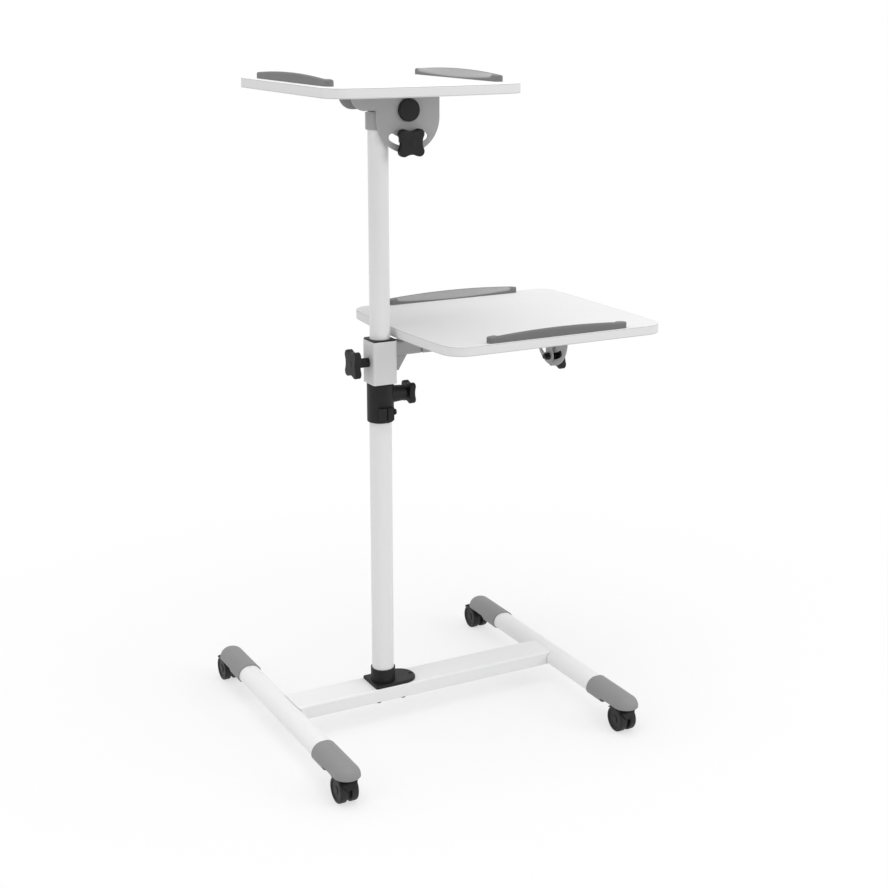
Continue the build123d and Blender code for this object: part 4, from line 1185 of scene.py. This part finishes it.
@dataclass
class Studio:
    """Pale floor, soft lamps, white surroundings and the photograph's camera.

    Sizes are metres, and the camera's angles are degrees. Each lamp has its name, its place,
    its side and its power in watts. All look at the aim.
    """

    camera_place: Place = (-1.21385, -2.2934, 1.2339)
    camera_yaw: float = 28.013
    camera_pitch: float = 13.30
    lens_mm: float = 63.035
    sensor_mm: float = 36.0
    shift: float = -0.09
    sight: float = 60.0
    surround: float = 0.58
    floor_reach: float = 9.0
    floor_tone: float = 236.0
    near_white: float = 0.62
    fade_start: float = 0.35
    fade_end: float = 1.3
    aim: Place = (0.0, 0.0, 0.6)
    lamps: tuple[tuple[str, Place, float, float], ...] = (
        ("overhead_softbox", (-0.2, -0.3, 3.4), 2.6, 45.0),
        ("front_right_softbox", (2.4, -2.6, 1.9), 1.6, 25.0),
        ("left_softbox", (-3.0, -0.8, 1.7), 1.4, 9.0),
    )

    def camera(self) -> None:
        """Stand the camera where the photograph was taken from."""
        data = bpy.data.cameras.new("photo_camera")
        data.lens = self.lens_mm
        data.sensor_width = self.sensor_mm
        data.shift_y = self.shift
        data.clip_end = self.sight
        camera = bpy.data.objects.new("photo_camera", data)
        camera.location = self.camera_place
        camera.rotation_euler = (
            math.radians(90 - self.camera_pitch), 0.0, -math.radians(self.camera_yaw)
        )
        bpy.context.scene.collection.objects.link(camera)
        bpy.context.scene.camera = camera

    def light(self) -> None:
        """Hang the soft square lamps."""
        for name, place, side, power in self.lamps:
            data = bpy.data.lights.new(name, "AREA")
            data.size = side
            data.energy = power
            lamp = bpy.data.objects.new(name, data)
            lamp.location = place
            look = Vector(self.aim) - Vector(place)
            lamp.rotation_euler = look.to_track_quat("-Z", "Y").to_euler()
            bpy.context.scene.collection.objects.link(lamp)

    def seen_share(self, tree: bpy.types.NodeTree) -> bpy.types.NodeSocket:
        """Add a value that is 1 for camera, glossy and transmitted rays, and 0 for others.

        Args:
            tree: node tree that it is added to.

        Returns:
            The value's socket.
        """
        path = tree.nodes.new("ShaderNodeLightPath")
        both, every = tree.nodes.new("ShaderNodeMath"), tree.nodes.new("ShaderNodeMath")
        both.operation = every.operation = "MAXIMUM"
        connect(
            tree,
            (path.outputs["Is Camera Ray"], both.inputs[0]),
            (path.outputs["Is Glossy Ray"], both.inputs[1]),
            (both.outputs[0], every.inputs[0]),
            (path.outputs["Is Transmission Ray"], every.inputs[1]),
        )
        return every.outputs[0]

    def floor(self) -> None:
        """Lay the floor as one flat mesh."""
        span = np.linspace(-self.floor_reach, self.floor_reach, 3)
        across, along = np.meshgrid(span, span, indexing="ij")
        sheet = Sheet(np.stack([across, along, 0 * across], -1))
        mesh = bpy.data.meshes.new("studio_floor")
        mesh.from_pydata(sheet.points.reshape(-1, 3).tolist(), [], sheet.quads(0)[:, ::-1].tolist())
        floor = bpy.data.objects.new("studio_floor", mesh)
        bpy.context.scene.collection.objects.link(floor)
        mesh.materials.append(self.floor_material())

    def floor_material(self) -> bpy.types.Material:
        """Make the floor lit near the cart, so that its shadow shows, and plain white further out.

        What sees the floor gets a share of plain white that rises with the distance from the
        cart's middle. All other rays get a matt floor.

        Returns:
            The material.
        """
        material = bpy.data.materials.new("studio_floor")
        material.use_nodes = True
        tree = material.node_tree
        tree.nodes.clear()
        matt, white = tree.nodes.new("ShaderNodeBsdfDiffuse"), tree.nodes.new("ShaderNodeEmission")
        seen_matt = tree.nodes.new("ShaderNodeBsdfDiffuse")
        matt.inputs["Color"].default_value = grey(self.floor_tone)
        seen_matt.inputs["Color"].default_value = (1.0, 1.0, 1.0, 1.0)
        seen, pick = tree.nodes.new("ShaderNodeMixShader"), tree.nodes.new("ShaderNodeMixShader")
        output = tree.nodes.new("ShaderNodeOutputMaterial")
        here = tree.nodes.new("ShaderNodeTexCoord")
        away = tree.nodes.new("ShaderNodeVectorMath")
        away.operation = "LENGTH"
        ramp = tree.nodes.new("ShaderNodeMapRange")
        ramp.interpolation_type = "SMOOTHSTEP"
        limits = (self.fade_start, self.fade_end, self.near_white, 1.0)
        for socket, value in zip(ramp.inputs[1:5], limits):
            socket.default_value = value
        connect(
            tree,
            (here.outputs["Object"], away.inputs[0]),
            (away.outputs["Value"], ramp.inputs[0]),
            (ramp.outputs[0], seen.inputs[0]),
            (seen_matt.outputs[0], seen.inputs[1]),
            (white.outputs[0], seen.inputs[2]),
            (self.seen_share(tree), pick.inputs[0]),
            (matt.outputs[0], pick.inputs[1]),
            (seen.outputs[0], pick.inputs[2]),
            (pick.outputs[0], output.inputs[0]),
        )
        return material

    def world(self) -> None:
        """Light the cart evenly from all round, and show plain white behind it."""
        world = bpy.data.worlds.new("white_studio")
        world.use_nodes = True
        tree = world.node_tree
        tree.nodes.clear()
        soft, white = tree.nodes.new("ShaderNodeBackground"), tree.nodes.new("ShaderNodeBackground")
        soft.inputs["Strength"].default_value = self.surround
        white.inputs["Strength"].default_value = 1.0
        for background in (soft, white):
            background.inputs["Color"].default_value = (1.0, 1.0, 1.0, 1.0)
        pick = tree.nodes.new("ShaderNodeMixShader")
        output = tree.nodes.new("ShaderNodeOutputWorld")
        connect(
            tree,
            (self.seen_share(tree), pick.inputs[0]),
            (soft.outputs[0], pick.inputs[1]),
            (white.outputs[0], pick.inputs[2]),
            (pick.outputs[0], output.inputs[0]),
        )
        bpy.context.scene.world = world

    def build(self) -> None:
        """Set up the whole studio."""
        self.camera()
        self.world()
        self.floor()
        self.light()
        bpy.context.scene.view_settings.view_transform = "Standard"


def main() -> None:
    """Build the studio and every sub-assembly, and report each piece."""
    logging.basicConfig(level=logging.INFO, format="%(message)s")
    shop = PaintShop()
    Studio().build()
    assemblies = [
        Base(),
        *[Caster(corner) for corner in CORNERS],
        Column(),
        ShelfArm(),
        MastHead(),
        Shelf(),
        Shelf("lower", "lower_tray", 0, (("front", 1), ("rear", -1)), Paint.LOWER_BOARD),
        ClampKnob("collar_knob", "collar_clamp", (1.0, 0.0, 0.0)),
        ClampKnob("sleeve_knob", "sleeve_clamp", (-1.0, 0.0, 0.0)),
        ClampKnob("upper_tilt_knob", "upper_clamp", (0.0, -1.0, 0.0)),
        ClampKnob("lower_tilt_knob", "lower_clamp", (1.0, 0.0, 0.0)),
    ]
    for assembly in assemblies:
        assembly.dress(shop)
        for piece in assembly.build(shop):
            LOG.info("%s: %s, %d faces", type(assembly).__name__, piece.name, len(piece.data.polygons))


if __name__ == "__main__":
    main()
